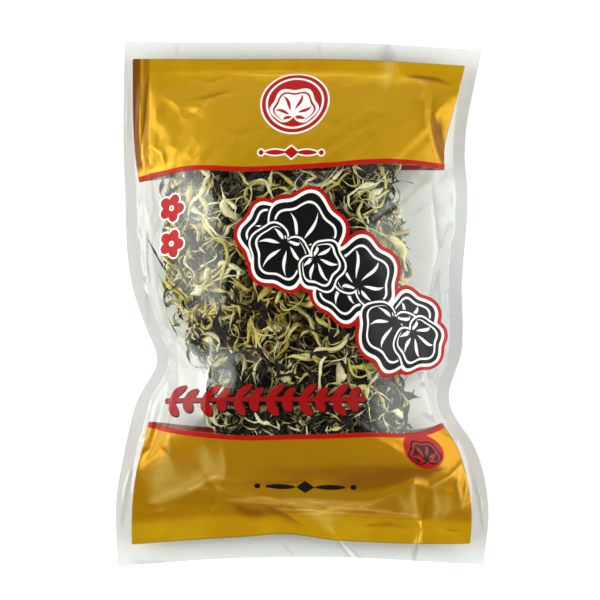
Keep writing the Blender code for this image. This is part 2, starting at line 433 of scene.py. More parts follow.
solid_top, solid_base = mapped(solid_faces)
solid_top, solid_base = solid_top - SKIN, solid_base + SKIN
print("map:", MAP_SHAPE, "cells, the solids' middle is", in_mm(solid_top.max()), "mm high")

# %% [markdown]
# ## Strewing the strips
# Wood ear is dried whole, cut in strips and dropped in the pouch, so each strip lies on the ones
# that fell before it. Scattering strips at random heights would push them through each other.
# Here they fall one by one on a map of heights, bridge the hollows as stiff dry strips do, and
# raise the map where they lie. Drying also kinks and forks them, so a way across the heap bends
# slowly, turns sharply once or twice, and now and then starts out of the strip before it.

# %% Say how the strips are cut and where they lie
STRIP_COUNT, STRIP_STATIONS = 2300, 26
STRIP_LENGTHS = (0.012, 0.054)
STRIP_WIDTH, STRIP_THICKNESS = 0.0020, 0.00042
STRIP_BEND = 45               # radians a metre, the same all along a strip
STRIP_CURL = 110              # what changes on the way
STRIP_HOOK = 160              # and what its end adds
KINK = 1.0                    # radians, how sharply a strip may turn at a kink
KINK_CHANCES, KINK_SHARE = 3, 0.6
FORK_SHARE = 0.16
STRAIGHT_ENDS, UNFORKED_ENDS = 4, 8    # stations at either end with no kink, and with no fork
STRAY_SHARE = 0.05
STRAY_REACH, EDGE_REACH = 0.010, 0.0012   # how far out of the heap a stray reaches, and any other strip
SEED = 11
# The heap's left and right outlines, as (y, x) points, and its ends.
HEAP_LEFT = ((-0.082, -0.048), (-0.066, -0.0475), (-0.050, -0.0465), (-0.026, -0.060), (0.000, -0.069),
             (0.019, -0.0725), (0.059, -0.0710), (0.078, -0.066))
HEAP_RIGHT = ((-0.082, 0.050), (-0.065, 0.0535), (-0.040, 0.0540), (-0.008, 0.0575), (0.007, 0.0550),
              (0.040, 0.0560), (0.054, 0.0500), (0.078, 0.0540))
HEAP_ENDS = (-0.082, 0.078)


def along_points(points, at):
    places, values = zip(*points)
    return np.interp(at, places, values)


def outside_heap(x, y):
    """How far a point lies outside the heap's outline; negative inside."""
    left = along_points(HEAP_LEFT, y) - x
    right = x - along_points(HEAP_RIGHT, y)
    ends = np.maximum(HEAP_ENDS[0] - y, y - HEAP_ENDS[1])
    return np.maximum(np.maximum(left, right), ends)


heights = np.linspace(*HEAP_ENDS, 50)
waist = (along_points(HEAP_RIGHT, heights) - along_points(HEAP_LEFT, heights)).min()
print("heap, mm wide at the waist:", in_mm(waist))

# %% Draw one strip's way across the heap
WANDER_SMOOTH = 3             # stations over which a strip's curl changes


def wander(rng, count, smooth):
    """A random line of numbers that changes slowly, about 1 high."""
    steps = rng.normal(size=count + 2 * smooth)
    bell = np.hanning(2 * smooth + 3)[1:-1]
    line = np.convolve(steps, bell / math.sqrt((bell**2).sum()), mode="valid")
    return line[:count]


def strip_way(rng, stray, fork_from=None):
    """x, y of one strip that starts somewhere in the heap and curls."""
    length = rng.uniform(*STRIP_LENGTHS)
    step = length / (STRIP_STATIONS - 1)
    bend = rng.normal(0, STRIP_BEND)
    curl = wander(rng, STRIP_STATIONS, WANDER_SMOOTH) * STRIP_CURL
    hook = rng.normal(0, STRIP_HOOK) * np.linspace(0, 1, STRIP_STATIONS) ** 3
    turns = rng.normal(0, KINK, KINK_CHANCES) * (rng.random(KINK_CHANCES) < KINK_SHARE)
    kinks = np.zeros(STRIP_STATIONS)
    kinks[rng.integers(STRAIGHT_ENDS, STRIP_STATIONS - STRAIGHT_ENDS, KINK_CHANCES)] = turns
    heading = rng.uniform(0, 2 * math.pi) + np.cumsum((bend + curl + hook) * step + kinks)
    x = np.cumsum(np.cos(heading)) * step
    y = np.cumsum(np.sin(heading)) * step
    place = rng.uniform(MAP_LOW, MAP_HIGH)
    if fork_from is None:
        x += place[0] - x.mean()
        y += place[1] - y.mean()
    else:
        x += fork_from[0] - x[0]
        y += fork_from[1] - y[0]
    out = outside_heap(x, y)
    allowed = STRAY_REACH if stray else EDGE_REACH
    return (x, y) if out.max() < allowed and out.min() < 0 else None


# %% Drop the strips on a map of heights
BRIDGE_ROUNDS = 14            # how stiffly a strip bridges the hollows under it
LIFT = 0.0030                 # how far its curls may rise off what it lies on
NEAR = [(di, dj) for di in (-1, 0, 1) for dj in (-1, 0, 1)]


def dropped(rng):
    """Every strip as an array of points, laid one on the other from the floor up."""
    level = np.zeros(MAP_SHAPE)
    strips = []
    while len(strips) < STRIP_COUNT:
        forks = bool(strips) and rng.random() < FORK_SHARE
        parent = None
        if forks:
            parent = strips[-1][rng.integers(UNFORKED_ENDS, STRIP_STATIONS - UNFORKED_ENDS), :2]
        way = strip_way(rng, rng.random() < STRAY_SHARE, parent)
        if way is None:
            continue
        x, y = way
        cells = ((np.stack(way, 1) - MAP_LOW) / MAP_CELL).astype(int)
        i, j = np.clip(cells, 1, np.array(MAP_SHAPE) - 2).T
        under = np.max([level[i + di, j + dj] for di, dj in NEAR], axis=0)
        z = under.copy()
        for _ in range(BRIDGE_ROUNDS):
            z[1:-1] = np.maximum(under[1:-1], (z[:-2] + 2 * z[1:-1] + z[2:]) / 4)
        z += np.abs(wander(rng, STRIP_STATIONS, WANDER_SMOOTH)) * rng.uniform(0, LIFT)
        for di, dj in NEAR:
            np.maximum.at(level, (i + di, j + dj), z + STRIP_THICKNESS)
        strips.append(np.stack((x, y, z + STRIP_THICKNESS / 2), 1))
    return np.array(strips), level


strips, level = dropped(np.random.default_rng(SEED))
print("loose heap, mm:", in_mm(level.max()), "highest,", in_mm(np.median(level[level > 0])), "middling")

# %% Press the heap between two faces
PRESSED_AT_MOST = 0.80        # a loose heap keeps this share of its height where it has room
STRIP_AIR = 0.0012            # what stays free between the heap and either face
LUMP_REACH, LUMP_BLUR = 4, 8  # cells over which the lumps of the loose heap count as one

envelope = spread(crest(level, LUMP_REACH), LUMP_BLUR)


def press_share(base, top):
    """How much of its loose height the heap keeps between two maps of heights."""
    room = top - base - 2 * STRIP_AIR
    return np.clip(room / np.maximum(envelope, MM), 0, PRESSED_AT_MOST)


heap_top = solid_base + STRIP_AIR + level * press_share(solid_base, solid_top)
print("pressed heap, mm:", in_mm(heap_top.max()), "highest")

# %% [markdown]
# ## The two films
# A pouch starts as two flat sheets of film, welded round the rim. When the filling pushes them
# apart they can't stretch, so they buckle into creases that run from the corners and along the
# waist. Hand-placed creases rarely look right, so each sheet is a cloth here: its rest shape is
# the flat sheet, its start is the outline and bulge of the frame's solid, its weld is pinned,
# and a little air pressure and the heap below push it into its folds.

# %% Say how the films are cut and welded
# The pouch's outline once filled, as points that a smooth line runs through.
LEFT_RIM = ((-0.137, -0.0962), (-0.100, -0.0963), (-0.075, -0.0918), (-0.050, -0.0855), (-0.029, -0.0752),
            (-0.013, -0.0806), (0.004, -0.0866), (0.064, -0.0920), (0.137, -0.0926))
RIGHT_RIM = ((-0.137, 0.0946), (-0.106, 0.0970), (-0.076, 0.0905), (-0.051, 0.0765), (-0.024, 0.0828),
             (0.010, 0.0830), (0.056, 0.0860), (0.080, 0.0846), (0.137, 0.0948))
TOP_RIM = ((-0.097, 0.1368), (-0.040, 0.1364), (0.030, 0.1360), (0.097, 0.1322))
BOTTOM_RIM = ((-0.097, -0.1370), (-0.045, -0.1328), (0.010, -0.1318), (0.097, -0.1360))
WELD_SIDE, WELD_TOP, WELD_BOTTOM = 0.008, 0.016, 0.024
SHEET_WIDTH = 0.1925
POUCH_LENGTH = 0.27           # about, as a start
SHEET_SLACK = 1.02            # how much longer the flat sheet is cut than its start
SHEET_CELLS = (110, 156)
GRID_ROUNDS = 6


def through(points, at):
    """A smooth line through (place, value) points, read at some places, level past its ends."""
    places, values = np.array(points).T
    slopes = np.gradient(values, places)
    at = np.clip(at, places[0], places[-1])
    k = np.clip(np.searchsorted(places, at, "right") - 1, 0, len(places) - 2)
    span = places[k + 1] - places[k]
    t = (at - places[k]) / span
    return (
        (2 * t**3 - 3 * t**2 + 1) * values[k]
        + (t**3 - 2 * t**2 + t) * slopes[k] * span
        + (3 * t**2 - 2 * t**3) * values[k + 1]
        + (t**3 - t**2) * slopes[k + 1] * span
    )


def sheet_grid():
    """x and y of the filled pouch's sheet at even steps across and along."""
    across, along = np.meshgrid(*(np.linspace(0, 1, cells + 1) for cells in SHEET_CELLS))
    x, y = (across - 0.5) * SHEET_WIDTH, (along - 0.5) * POUCH_LENGTH
    for _ in range(GRID_ROUNDS):
        left, right = through(LEFT_RIM, y), through(RIGHT_RIM, y)
        x = left + (right - left) * across
        bottom, top = through(BOTTOM_RIM, x), through(TOP_RIM, x)
        y = bottom + (top - bottom) * along
    return x, y


def weld_share(x, y):
    """0 at the rim, 1 past the weld and more further in."""
    return np.minimum.reduce([
        (x - through(LEFT_RIM, y)) / WELD_SIDE, (through(RIGHT_RIM, y) - x) / WELD_SIDE,
        (y - through(BOTTOM_RIM, x)) / WELD_BOTTOM, (through(TOP_RIM, x) - y) / WELD_TOP,
    ])


sheet_x, sheet_y = sheet_grid()
print("sheet points:", sheet_x.size, "widest, mm:", in_mm(np.ptp(sheet_x, axis=1).max()))

# %% Start the films on the frame's solids
INWARD = (1, 0.99, 0.97)      # a point that just misses the solids is read a little further in
LEVEL_BLUR = 3                # cells
PUCKER = 0.0011               # how high the fins ripple
PUCKER_SPACING, PUCKER_DRIFT = 0.017, (0.6, 0.031)
PUCKER_ALONG, PUCKER_ACROSS = 0.075, 0.010
FLOOR_GAP = 0.0002


def sheet_levels():
    """Start heights of the front and the back sheet at every point of the grid."""
    front, back = np.zeros_like(sheet_x), np.zeros_like(sheet_x)
    for place in np.ndindex(sheet_x.shape):
        x, y = sheet_x[place], sheet_y[place]
        faces = next(f for shrink in INWARD if (f := solid_faces(x * shrink, y * shrink)))
        front[place], back[place] = faces[0] - SKIN, faces[1] + SKIN
    return spread(front, LEVEL_BLUR), spread(back, LEVEL_BLUR)


def pucker(x, y):
    """The welded side fins ripple where the filling pulls them in."""
    waist = np.exp(-((y / PUCKER_ALONG) ** 4))
    side = np.exp(-np.minimum(x - through(LEFT_RIM, y), through(RIGHT_RIM, y) - x) / PUCKER_ACROSS)
    drift, drift_length = PUCKER_DRIFT
    phase = y / PUCKER_SPACING + drift * np.sin(y / drift_length)
    return PUCKER * waist * side * np.sin(2 * math.pi * phase)


front_level, back_level = sheet_levels()
ripple = pucker(sheet_x, sheet_y)
middle = (front_level + back_level) / 2
welded = weld_share(sheet_x, sheet_y) < 1.0
front_level = np.where(welded, middle + WELD_GAP / 2, front_level) + ripple
back_level = np.where(welded, middle - WELD_GAP / 2, back_level) + ripple
back_level = np.maximum(back_level, FLOOR_GAP)
print("the sheets start at, mm:", in_mm(front_level.max()), "and", in_mm(back_level.min()))

# %% Lay out a sheet and what it presses on
FILM = {
    "quality": 6,
    "mass": 0.0003,
    "tension_stiffness": 40,
    "compression_stiffness": 40,
    "shear_stiffness": 20,
    "bending_model": "ANGULAR",
    "bending_stiffness": 0.35,
    "tension_damping": 5,
    "compression_damping": 5,
    "shear_damping": 5,
    "bending_damping": 0.5,
    "use_pressure": True,
}
FILM_GAP, FILM_GRIP = 0.0008, 5        # how close the film comes to the heap, and the rub between them


def grid_mesh(name, x, y, z, outward=1):
    """A rectangular grid of points as a mesh whose faces look up, or down where outward is -1."""
    rows, columns = x.shape
    mesh = bpy.data.meshes.new(name)
    index = np.arange(rows * columns).reshape(rows, columns)
    corners = [index[:-1, :-1], index[:-1, 1:], index[1:, 1:], index[1:, :-1]][::outward]
    faces = np.stack([c.ravel() for c in corners], 1)
    mesh.from_pydata(np.stack((x, y, z), -1).reshape(-1, 3).tolist(), [], faces.tolist())
    mesh.shade_smooth()
    return mesh


def flat_sheet(x, y, z):
    """Where each point of the sheet lies while the sheet is still flat."""
    across = np.linspace(-0.5, 0.5, x.shape[1])[None, :] * SHEET_WIDTH + 0 * x
    steps = np.sqrt(np.diff(x, axis=0) ** 2 + np.diff(y, axis=0) ** 2 + np.diff(z, axis=0) ** 2)
    along = np.vstack([np.zeros((1, x.shape[1])), np.cumsum(steps, 0)])
    along -= along[-1:] / 2
    return across, along


def film_on(sheet, rest, press_on, frames, pressure):
    """Gives the sheet the stiffness and thinness of packet film, and what it can't pass."""
    cloth = sheet.modifiers.new("cloth", "CLOTH")
    for setting, value in FILM.items():
        setattr(cloth.settings, setting, value)
    cloth.settings.vertex_group_mass = "weld"
    cloth.settings.rest_shape_key = rest
    cloth.settings.uniform_pressure_force = pressure
    cloth.settings.effector_weights.gravity = 0
    cloth.collision_settings.use_collision = bool(press_on)
    cloth.collision_settings.distance_min = FILM_GAP
    for thing in press_on:
        thing.modifiers.new("press", "COLLISION")
        thing.collision.thickness_outer = FILM_GAP
        thing.collision.cloth_friction = FILM_GRIP
    cloth.point_cache.frame_start, cloth.point_cache.frame_end = 1, frames


def settle(name, z, outward, press_on, frames, pressure):
    """Lets a sheet buckle and come to rest, and gives its object."""
    mesh = grid_mesh(name, sheet_x, sheet_y, z, outward)
    sheet = placed(name + "_cloth", mesh)
    across, along = flat_sheet(sheet_x, sheet_y, z)
    flat = mesh.attributes.new("flat", "FLOAT_VECTOR", "POINT")
    spot = np.stack((across, along / (along[-1:] - along[:1]), 0 * along), -1)
    flat.data.foreach_set("vector", spot.astype(np.float32).ravel())
    sheet.shape_key_add(name="Filled")
    rest = sheet.shape_key_add(name="Flat")
    cut = np.stack((across, along * SHEET_SLACK, 0 * along), -1)
    rest.data.foreach_set("co", cut.astype(np.float32).ravel())
    rest.value = 0
    pins = sheet.vertex_groups.new(name="weld")
    pins.add(np.flatnonzero(welded.ravel()).tolist(), 1.0, "REPLACE")
    film_on(sheet, rest, press_on, frames, pressure)
    for frame_number in range(1, frames + 1):
        scene.frame_set(frame_number)
    return sheet


def finished_sheet(name, sheet, levels, *helpers):
    """Irons the small dents of the settled sheet and leaves a plain mesh, with its helpers gone."""
    iron = sheet.modifiers.new("iron", "SMOOTH")
    iron.factor, iron.iterations = IRON_SHARE, IRON_ROUNDS
    iron.vertex_group, iron.invert_vertex_group = "weld", True
    finer = sheet.modifiers.new("finer", "SUBSURF")
    finer.levels = finer.render_levels = levels
    return plain_piece(name, sheet, *helpers)


# %% Let the films settle
FORM_CREST, FORM_SPREAD = 2, 12        # cells over which the film smooths out the heap's lumps
FORM_SINK = 0.0016            # how far the film presses the lumps down
IRON_SHARE, IRON_ROUNDS = 0.5, 5
FRONT_FRAMES, FRONT_PRESSURE = 30, 0.5
REAR_FRAMES, REAR_PRESSURE = 20, 0.1

heap_x, heap_y = np.meshgrid(*(
    low + (np.arange(0, cells, 2) + 0.5) * MAP_CELL for low, cells in zip(MAP_LOW, MAP_SHAPE)
))
form_z = spread(crest(heap_top, FORM_CREST), FORM_SPREAD)[::2, ::2].T - FORM_SINK
heap_form = placed("heap_form", grid_mesh("heap_form", heap_x, heap_y, form_z))
front_cloth = settle("printed_film", front_level, 1, [heap_form], FRONT_FRAMES, FRONT_PRESSURE)
front_film = finished_sheet("printed_film", front_cloth, 1, heap_form)
back_cloth = settle("rear_film", back_level, -1, [], REAR_FRAMES, REAR_PRESSURE)
back_film = finished_sheet("rear_film", back_cloth, 0)
print("front film, mm:", in_mm(max(v.co.z for v in front_film.data.vertices)), "high")

# %% [markdown]
# ## Folds from handling
# The simulation gives the creases that filling makes. A packet from a shop also has those that
# hands and the welding bars leave in its gold ends: a turned edge, thumb dents and short sharp
# ridges. They are few enough to draw: each is a line on the packet along which the film rises or
# sinks. A real fold leans over, so it is steep on one side of its line and wide on the other.

# %% Fold the printed ends
FOLDS = (   # points in millimetres from the middle, half width and height; below 0 is pressed in
    (((-83.6, 127.5), (-83.2, 100), (-84.2, 73)), 1.3, 0.9),
    (((-80.2, 120), (-81.2, 100), (-83.6, 76)), 1.9, -1),
    (((-83.5, 74), (-79, 82), (-73, 78.5), (-70.5, 70)), 1.6, 1),
    (((-83, 66.5), (-78, 69.5), (-76, 64.5)), 1.4, 0.8),
    (((-60, 104.5), (-50, 107), (-35, 110.5)), 2.2, -0.8),
    (((-73, 110), (-64, 103), (-50, 101.5), (-36, 105)), 3, 0.6),
    (((-57, 117), (-48, 116), (-37, 118.5)), 1.5, -0.6),
    (((-58, 99), (-54, 97.5), (-51.5, 95)), 1.2, -0.35),
    (((-36, 122.5), (-26, 122.5)), 1.4, -0.4),
    (((-19, 122.5), (-11, 122.5)), 1.4, -0.4),
    (((44, 135.5), (46.5, 122), (42.5, 110.5)), 4.2, 1.2),
    (((49.5, 119.5), (70, 117), (78.5, 113.5)), 1.5, -1),
    (((60.5, 115.5), (64, 110), (59.5, 104.5)), 1.3, 0.6),
    (((64, 108), (63.6, 96), (67, 81.5), (71.5, 66)), 1.8, 1.1),
    (((68, 108), (67.5, 96), (70.5, 82), (75, 68)), 1.8, -0.9),
    (((67, 96.5), (76, 107)), 2.6, 0.6),
    (((-41.5, -86.5), (-66, -99), (-84, -105.5)), 2.4, 1.2),
    (((-69, -64), (-68.5, -88)), 1.8, 0.5),
    (((-20.8, -98.5), (-8, -101.5), (4, -104), (14.5, -112.5)), 2.2, 0.9),
    (((-20, -104.5), (-10, -109), (5, -118)), 3.2, -1),
    (((-6, -100.5), (22, -102.5), (36, -102.5), (51, -96.5), (57.5, -92.5)), 2.2, 1.1),
    (((20, -93), (40, -91), (60, -87.5), (76, -85)), 4, -1),
    (((57.5, -92.5), (66, -95), (77, -89), (83, -82.5)), 1.8, 1.1),
    (((57.5, -92), (57.8, -102), (61, -116)), 1.5, 1.2),
    (((66.5, -95.5), (63.8, -106), (62.2, -117)), 1.6, -0.9),
    (((68, -95), (70.5, -106), (68, -115)), 2.2, 0.8),
    (((83, -83.5), (86, -93), (83.5, -105.5), (80.5, -94), (83, -83.5)), 1.3, 0.9),
    (((30, -115.5), (45, -114.5), (60.5, -116.5)), 1.6, -0.9),
    (((70, -116.5), (84, -118.5)), 1.4, -0.7),
    (((-40, -91.5), (-16, -92.5), (4, -91)), 1.2, -0.4),
    (((12.5, -114.5), (27.5, -134.5)), 1.3, 1),
    (((16.5, -120), (35, -136)), 1.1, -0.9),
    (((61.5, -116.5), (58, -136)), 1.3, 1.1),
    (((-12, -122.5), (-3, -132)), 1.2, 0.7),
    (((-92.5, -133), (-80, -134.6), (-62, -133.8)), 1.2, 0.7),
    (((-94, -118), (-91.5, -96), (-88, -84)), 1.3, 0.8),
    (((94.5, -121), (92, -102), (87.5, -84)), 1.3, 0.8),
    (((-89.5, 120), (-90.2, 96), (-88.6, 78)), 1.2, 0.7),
    (((-66, 137), (-64, 128)), 1.4, 0.6),
    (((8, 137), (10.5, 129)), 1.4, 0.6),
    (((-84.5, -105), (-79, -108), (-70, -107)), 1.4, 0.7),
    (((-38, -84), (0, -87), (36, -84), (66, -88)), 8, -0.7),
    (((-84, -78), (-74, -74), (-66, -79)), 2, -0.8),
    (((-55, -82), (-44, -96), (-48, -108)), 3, -0.7),
    (((-41, -72), (-40, -86), (-43, -98)), 1.6, 0.7),
    (((20, -74), (34, -79), (44, -77)), 1.8, 0.5),
    (((-14, -76), (-22, -82), (-35, -81)), 1.8, 0.5),
    (((4, 96), (26, 90), (44, 93)), 3, -0.4),
    (((26, 104), (40, 99), (52, 101)), 2.2, 0.5),
    (((-46, 92), (-32, 88), (-20, 90)), 2.4, -0.5),
    (((-50, -72), (-48, -84), (-56, -92)), 6, 1.1),
    (((-72, -72), (-71, -86), (-76, -98)), 7, 1.1),
    (((-6, -107), (12, -109.5), (26, -108)), 5, 0.8),
    (((50, -98), (54, -106), (50, -112)), 4, 0.8),
    (((74, -96), (76, -106), (72, -114)), 4, 0.8),
    (((-37, -104), (-28, -108), (-19, -110)), 3.4, -0.9),
    (((-87, -103), (-80, -105), (-75, -109)), 2.6, -0.8),
    (((72, 104), (71, 88), (76, 72)), 4.5, -0.8),
    (((-80, 84), (-76, 74), (-69, 70)), 2, -0.8),
    (((-46, -19), (-49, -42), (-50, -63)), 2.5, 1.1),
    (((60, -14), (63, -40), (70, -63)), 2.2, 0.9),
    (((-79, 64), (-81, 23), (-79, -14)), 1.8, 0.7),
    (((66, 64), (70, 28), (65, 2)), 1.8, 0.7),
)
FOLD_HEIGHTEN, FOLD_CURVE = 1.3, 1.05
FOLD_LEE = 1.7                # times wider on the right of the line than on its left
FOLD_TIP, FOLD_TAPER = 0.07, 0.6   # share of a fold past either end, and how blunt its ends are
WELD_REACH = 2.1              # weld widths from the rim at which the back film stops to follow


def beside(x, y, start, end):
    """Where points lie beside a line: 0 to 1 along it, how far off, and how far to its right."""
    x, y, way = x - start[0], y - start[1], np.subtract(end, start)
    share = np.clip((x * way[0] + y * way[1]) / (way @ way), 0, 1)
    gap = np.hypot(x - share * way[0], y - share * way[1])
    return share, gap, (x * way[1] - y * way[0]) / math.hypot(*way)


def fold(film, folds, weld_only=False):
    """Lifts or sinks the film along lines, most at their middle and less towards their ends."""
    places = points_of(film.data)
    x, y = places[:, 0] / MM, places[:, 1] / MM
    rise = np.zeros(len(x))
    for points, half_width, height in folds:
        lengths = np.hypot(*np.diff(points, axis=0).T)
        reached = np.concatenate(([0], np.cumsum(lengths))) / lengths.sum()
        nearest, at = np.full(len(x), FAR), np.zeros(len(x))
        for start, end, first, last in zip(points, points[1:], reached, reached[1:]):
            share, gap, side = beside(x, y, start, end)
            gap /= 1 + (FOLD_LEE - 1) * (0.5 + 0.5 * side / np.maximum(gap, TINY))
            closer = gap < nearest
            nearest = np.where(closer, gap, nearest)
            at = np.where(closer, first + (last - first) * share, at)
        taper = np.sin(math.pi * (at * (1 - 2 * FOLD_TIP) + FOLD_TIP)) ** FOLD_TAPER
        rise += FOLD_HEIGHTEN * height * MM * taper * np.exp(-((nearest / half_width) ** FOLD_CURVE))
    if weld_only:
        rise *= np.clip(WELD_REACH - weld_share(places[:, 0], places[:, 1]), 0, 1)
    places[:, 2] += rise
    # The heights are kept too, for the gold's painted shade in folds pressed in and its painted highlight
    # on ridges.
    keep(film.data, "rise", rise / MM)
    move_points(film.data, places)
    return rise


rise = fold(front_film, FOLDS)
fold(back_film, FOLDS, weld_only=True)
print("folds:", len(FOLDS), "from", round(rise.min() / MM, 1), "to", round(rise.max() / MM, 1), "mm")

# %% [markdown]
# ## Tucking the strips in
# The films now say how much room there is, better than the frame's solids do. A ray down on the
# front film and one up on the back film map it, and the heap is pressed once more, to fit.

# %% Tuck the strips between the settled films
TUCK = 0.0011                 # how far below the front film a strip's middle stays
BASE_TUCK = 0.0022            # and how far above the back film

film_top, film_base = mapped(outer_faces(front_film, back_film))
film_top = -crest(-film_top, 1)
press = press_share(film_base, film_top)
for strip in strips:
    x, y, z = strip.T
    base = read_map(film_base, x, y)
    high = base + STRIP_AIR + z * read_map(press, x, y)
    strip[:, 2] = np.minimum(np.maximum(high, base + BASE_TUCK), read_map(film_top, x, y) - TUCK)
pressed = round(press[level > 0].mean(), 2)
print("strips reach, mm:", in_mm(strips[:, :, 2].max()), "and are pressed to", pressed)

# %% [markdown]
# ## Sweeping the strips
# Every strip is the same thing: a thin ribbon along its way, cupped as it dried, wider here and
# narrower there, and twisted so that now its black skin and now its cream flesh faces you. That
# is a rule, so one Geometry Nodes tree makes all of them, and the numbers that differ from strip
# to strip lie on the lines that it is given.

# %% Build the sweeping tree


class Sweep(Recipe):
    """A Geometry Nodes tree with named inputs."""

    def __init__(self, name, inputs):
        self.owner = self.tree = bpy.data.node_groups.new(name, "GeometryNodeTree")
        self.tree.interface.new_socket("Geometry", in_out="OUTPUT", socket_type="NodeSocketGeometry")
        for label, kind in inputs.items():
            self.tree.interface.new_socket(label, in_out="INPUT", socket_type=kind)
        self.entry = self.tree.nodes.new("NodeGroupInput")

    def given(self, label):
        return Amount(self, self.entry.outputs[label])

    def noted(self, name):
        return self.add("GeometryNodeInputNamedAttribute", sockets={"Name": name}, output="Attribute")

    def note(self, geometry, name, value):
        sockets = {"Geometry": geometry, "Name": name, "Value": value}
        return self.add("GeometryNodeStoreNamedAttribute", sockets=sockets)

    def close(self, geometry):
        whole = self.add("GeometryNodeRealizeInstances", sockets={"Geometry": geometry})
        sockets = {"Geometry": whole, "Material": self.given("Finish")}
        dressed = self.add("GeometryNodeSetMaterial", sockets=sockets)
        self.tree.links.new(dressed.socket, self.tree.nodes.new("NodeGroupOutput").inputs[0])
        return self.tree


# Noise along a strip: how far the strips lie apart in it, waves a metre, detail and strength.
TWISTING, SWELLING, NOTCHING = (3.7, 60.0, 1.0, 2.0), (5.3, 70.0, 0.0, 2.2), (7.9, 260.0, 1.0, 0.9)
STRIP_TAPER, TIP_GIRTH, LEAST_SWELL = 0.55, 0.1, 0.22
SWEEP_INPUTS = {
    "Geometry": "NodeSocketGeometry",
    **dict.fromkeys(("Width", "Thickness", "Cup", "Twist", "Swell", "Seed"), "NodeSocketFloat"),
    **dict.fromkeys(("Sides", "Stations"), "NodeSocketInt"),
    "Finish": "NodeSocketMaterial",
}


def strip_sweep():
    """Turns each strip's way into a thin cupped ribbon that twists, swells and tapers."""
    sweep = Sweep("cut_strips", SWEEP_INPUTS)
    add = sweep.add

    def noise(stride, often, detail, strength):
        """Random numbers that change along a strip and from strip to strip, around 0."""
        place = {"X": number * stride, "Y": reach * often, "Z": sweep.given("Seed")}
        spot = add("ShaderNodeCombineXYZ", sockets=place)
        return (sweep.grain(1.0, spot, detail) - 0.5) * strength

    line = add("GeometryNodeMeshToCurve", sockets={"Mesh": sweep.given("Geometry")})
    line = add("GeometryNodeCurveSplineType", {"spline_type": "CATMULL_ROM"}, {"Curve": line})
    line = add("GeometryNodeResampleCurve", sockets={"Curve": line, "Count": sweep.given("Stations")})
    along = add("GeometryNodeSplineParameter")
    line = sweep.note(line, "along", along)
    number = sweep.noted("number")
    reach = add("GeometryNodeSplineParameter", output="Length")
    turn = sweep.noted("turn") + noise(*TWISTING) * sweep.given("Twist")
    line = add("GeometryNodeSetCurveNormal", {"mode": "Z_UP"}, {"Curve": line})
    line = add("GeometryNodeSetCurveTilt", sockets={"Curve": line, "Tilt": turn})
    taper = (along * (1 - along) * 4) ** STRIP_TAPER
    swell = 1 + (noise(*SWELLING) + noise(*NOTCHING)) * sweep.given("Swell")
    girth = sweep.noted("girth") * (taper * (1 - TIP_GIRTH) + TIP_GIRTH) * swell.larger(LEAST_SWELL)
    round_profile = {"Resolution": sweep.given("Sides"), "Radius": 1.0}
    ring = add("GeometryNodeCurvePrimitiveCircle", sockets=round_profile)
    where = add("GeometryNodeInputPosition")
    across = add("ShaderNodeSeparateXYZ", sockets={0: where}, output="X")
    up = add("ShaderNodeSeparateXYZ", sockets={0: where}, output="Y")
    ring = sweep.note(ring, "across", across)
    ring = sweep.note(ring, "side", up)
    flat = add("ShaderNodeCombineXYZ", sockets={
        "X": across * sweep.given("Width") * 0.5,
        "Y": up * sweep.given("Thickness") * 0.5 + (across * across - 0.5) * sweep.given("Cup"),
    })
    ring = add("GeometryNodeSetPosition", sockets={"Geometry": ring, "Position": flat})
    ribbon = add("GeometryNodeCurveToMesh", sockets={
        "Curve": line, "Profile Curve": ring, "Scale": girth, "Fill Caps": True,
    })
    ribbon = add("GeometryNodeSetShadeSmooth", sockets={"Geometry": ribbon, "Shade Smooth": True})
    return sweep.close(ribbon)


sweeping = strip_sweep()
print("nodes in the sweeping tree:", len(sweeping.nodes))

# %% [markdown]
# ## Skin and flesh
# A dried wood ear is black and a little shiny on its smooth side, and cream to ochre and downy on
# the other, with a paler line where the knife went through. One material holds both: the ribbon
# knows which of its sides a point is on. Fibres run along the strip, so their noise is stretched
# along it, and small wrinkles from drying go into a bump.

# %% Mix the strips' finish
CREAM, STRAW, OCHRE = ink(248, 242, 198), ink(222, 206, 106), ink(160, 136, 58)
SKIN_BLACK, SKIN_BROWN, CUT_EDGE = ink(15, 12, 10), ink(38, 28, 18), ink(150, 128, 84)
# Noise on a strip: waves along it, waves across it and what a strip's number adds; and its detail.
BLOTCHES, FIBRES = ((9, 0.4, 0.37), 2.0), ((16, 5, 0.53), 3.0)
FLESH_SIDE = (0.15, -0.15)
STRAW_TONES = (0.05, 0.75)           # from cream to straw
OCHRE_FROM_TONE, OCHRE_FROM_BLOTCH, OCHRE_MIDDLE, OCHRE_SUMS = 1.6, 1.4, 0.55, (0.95, 1.55)
FIBRE_LINES, FIBRE_SHARE = (0.58, 0.40), 0.35
BROWN_BLOTCHES = (0.45, 0.75)
EDGE_LINE, EDGE_SHARE = (0.80, 0.98), 0.55
SKIN_ROUGHNESS, FLESH_ROUGHNESS = 0.50, 0.82
WRINKLE_SIZE, WRINKLE_DEPTH, WRINKLE_STRENGTH = 0.0009, 0.00022, 0.8


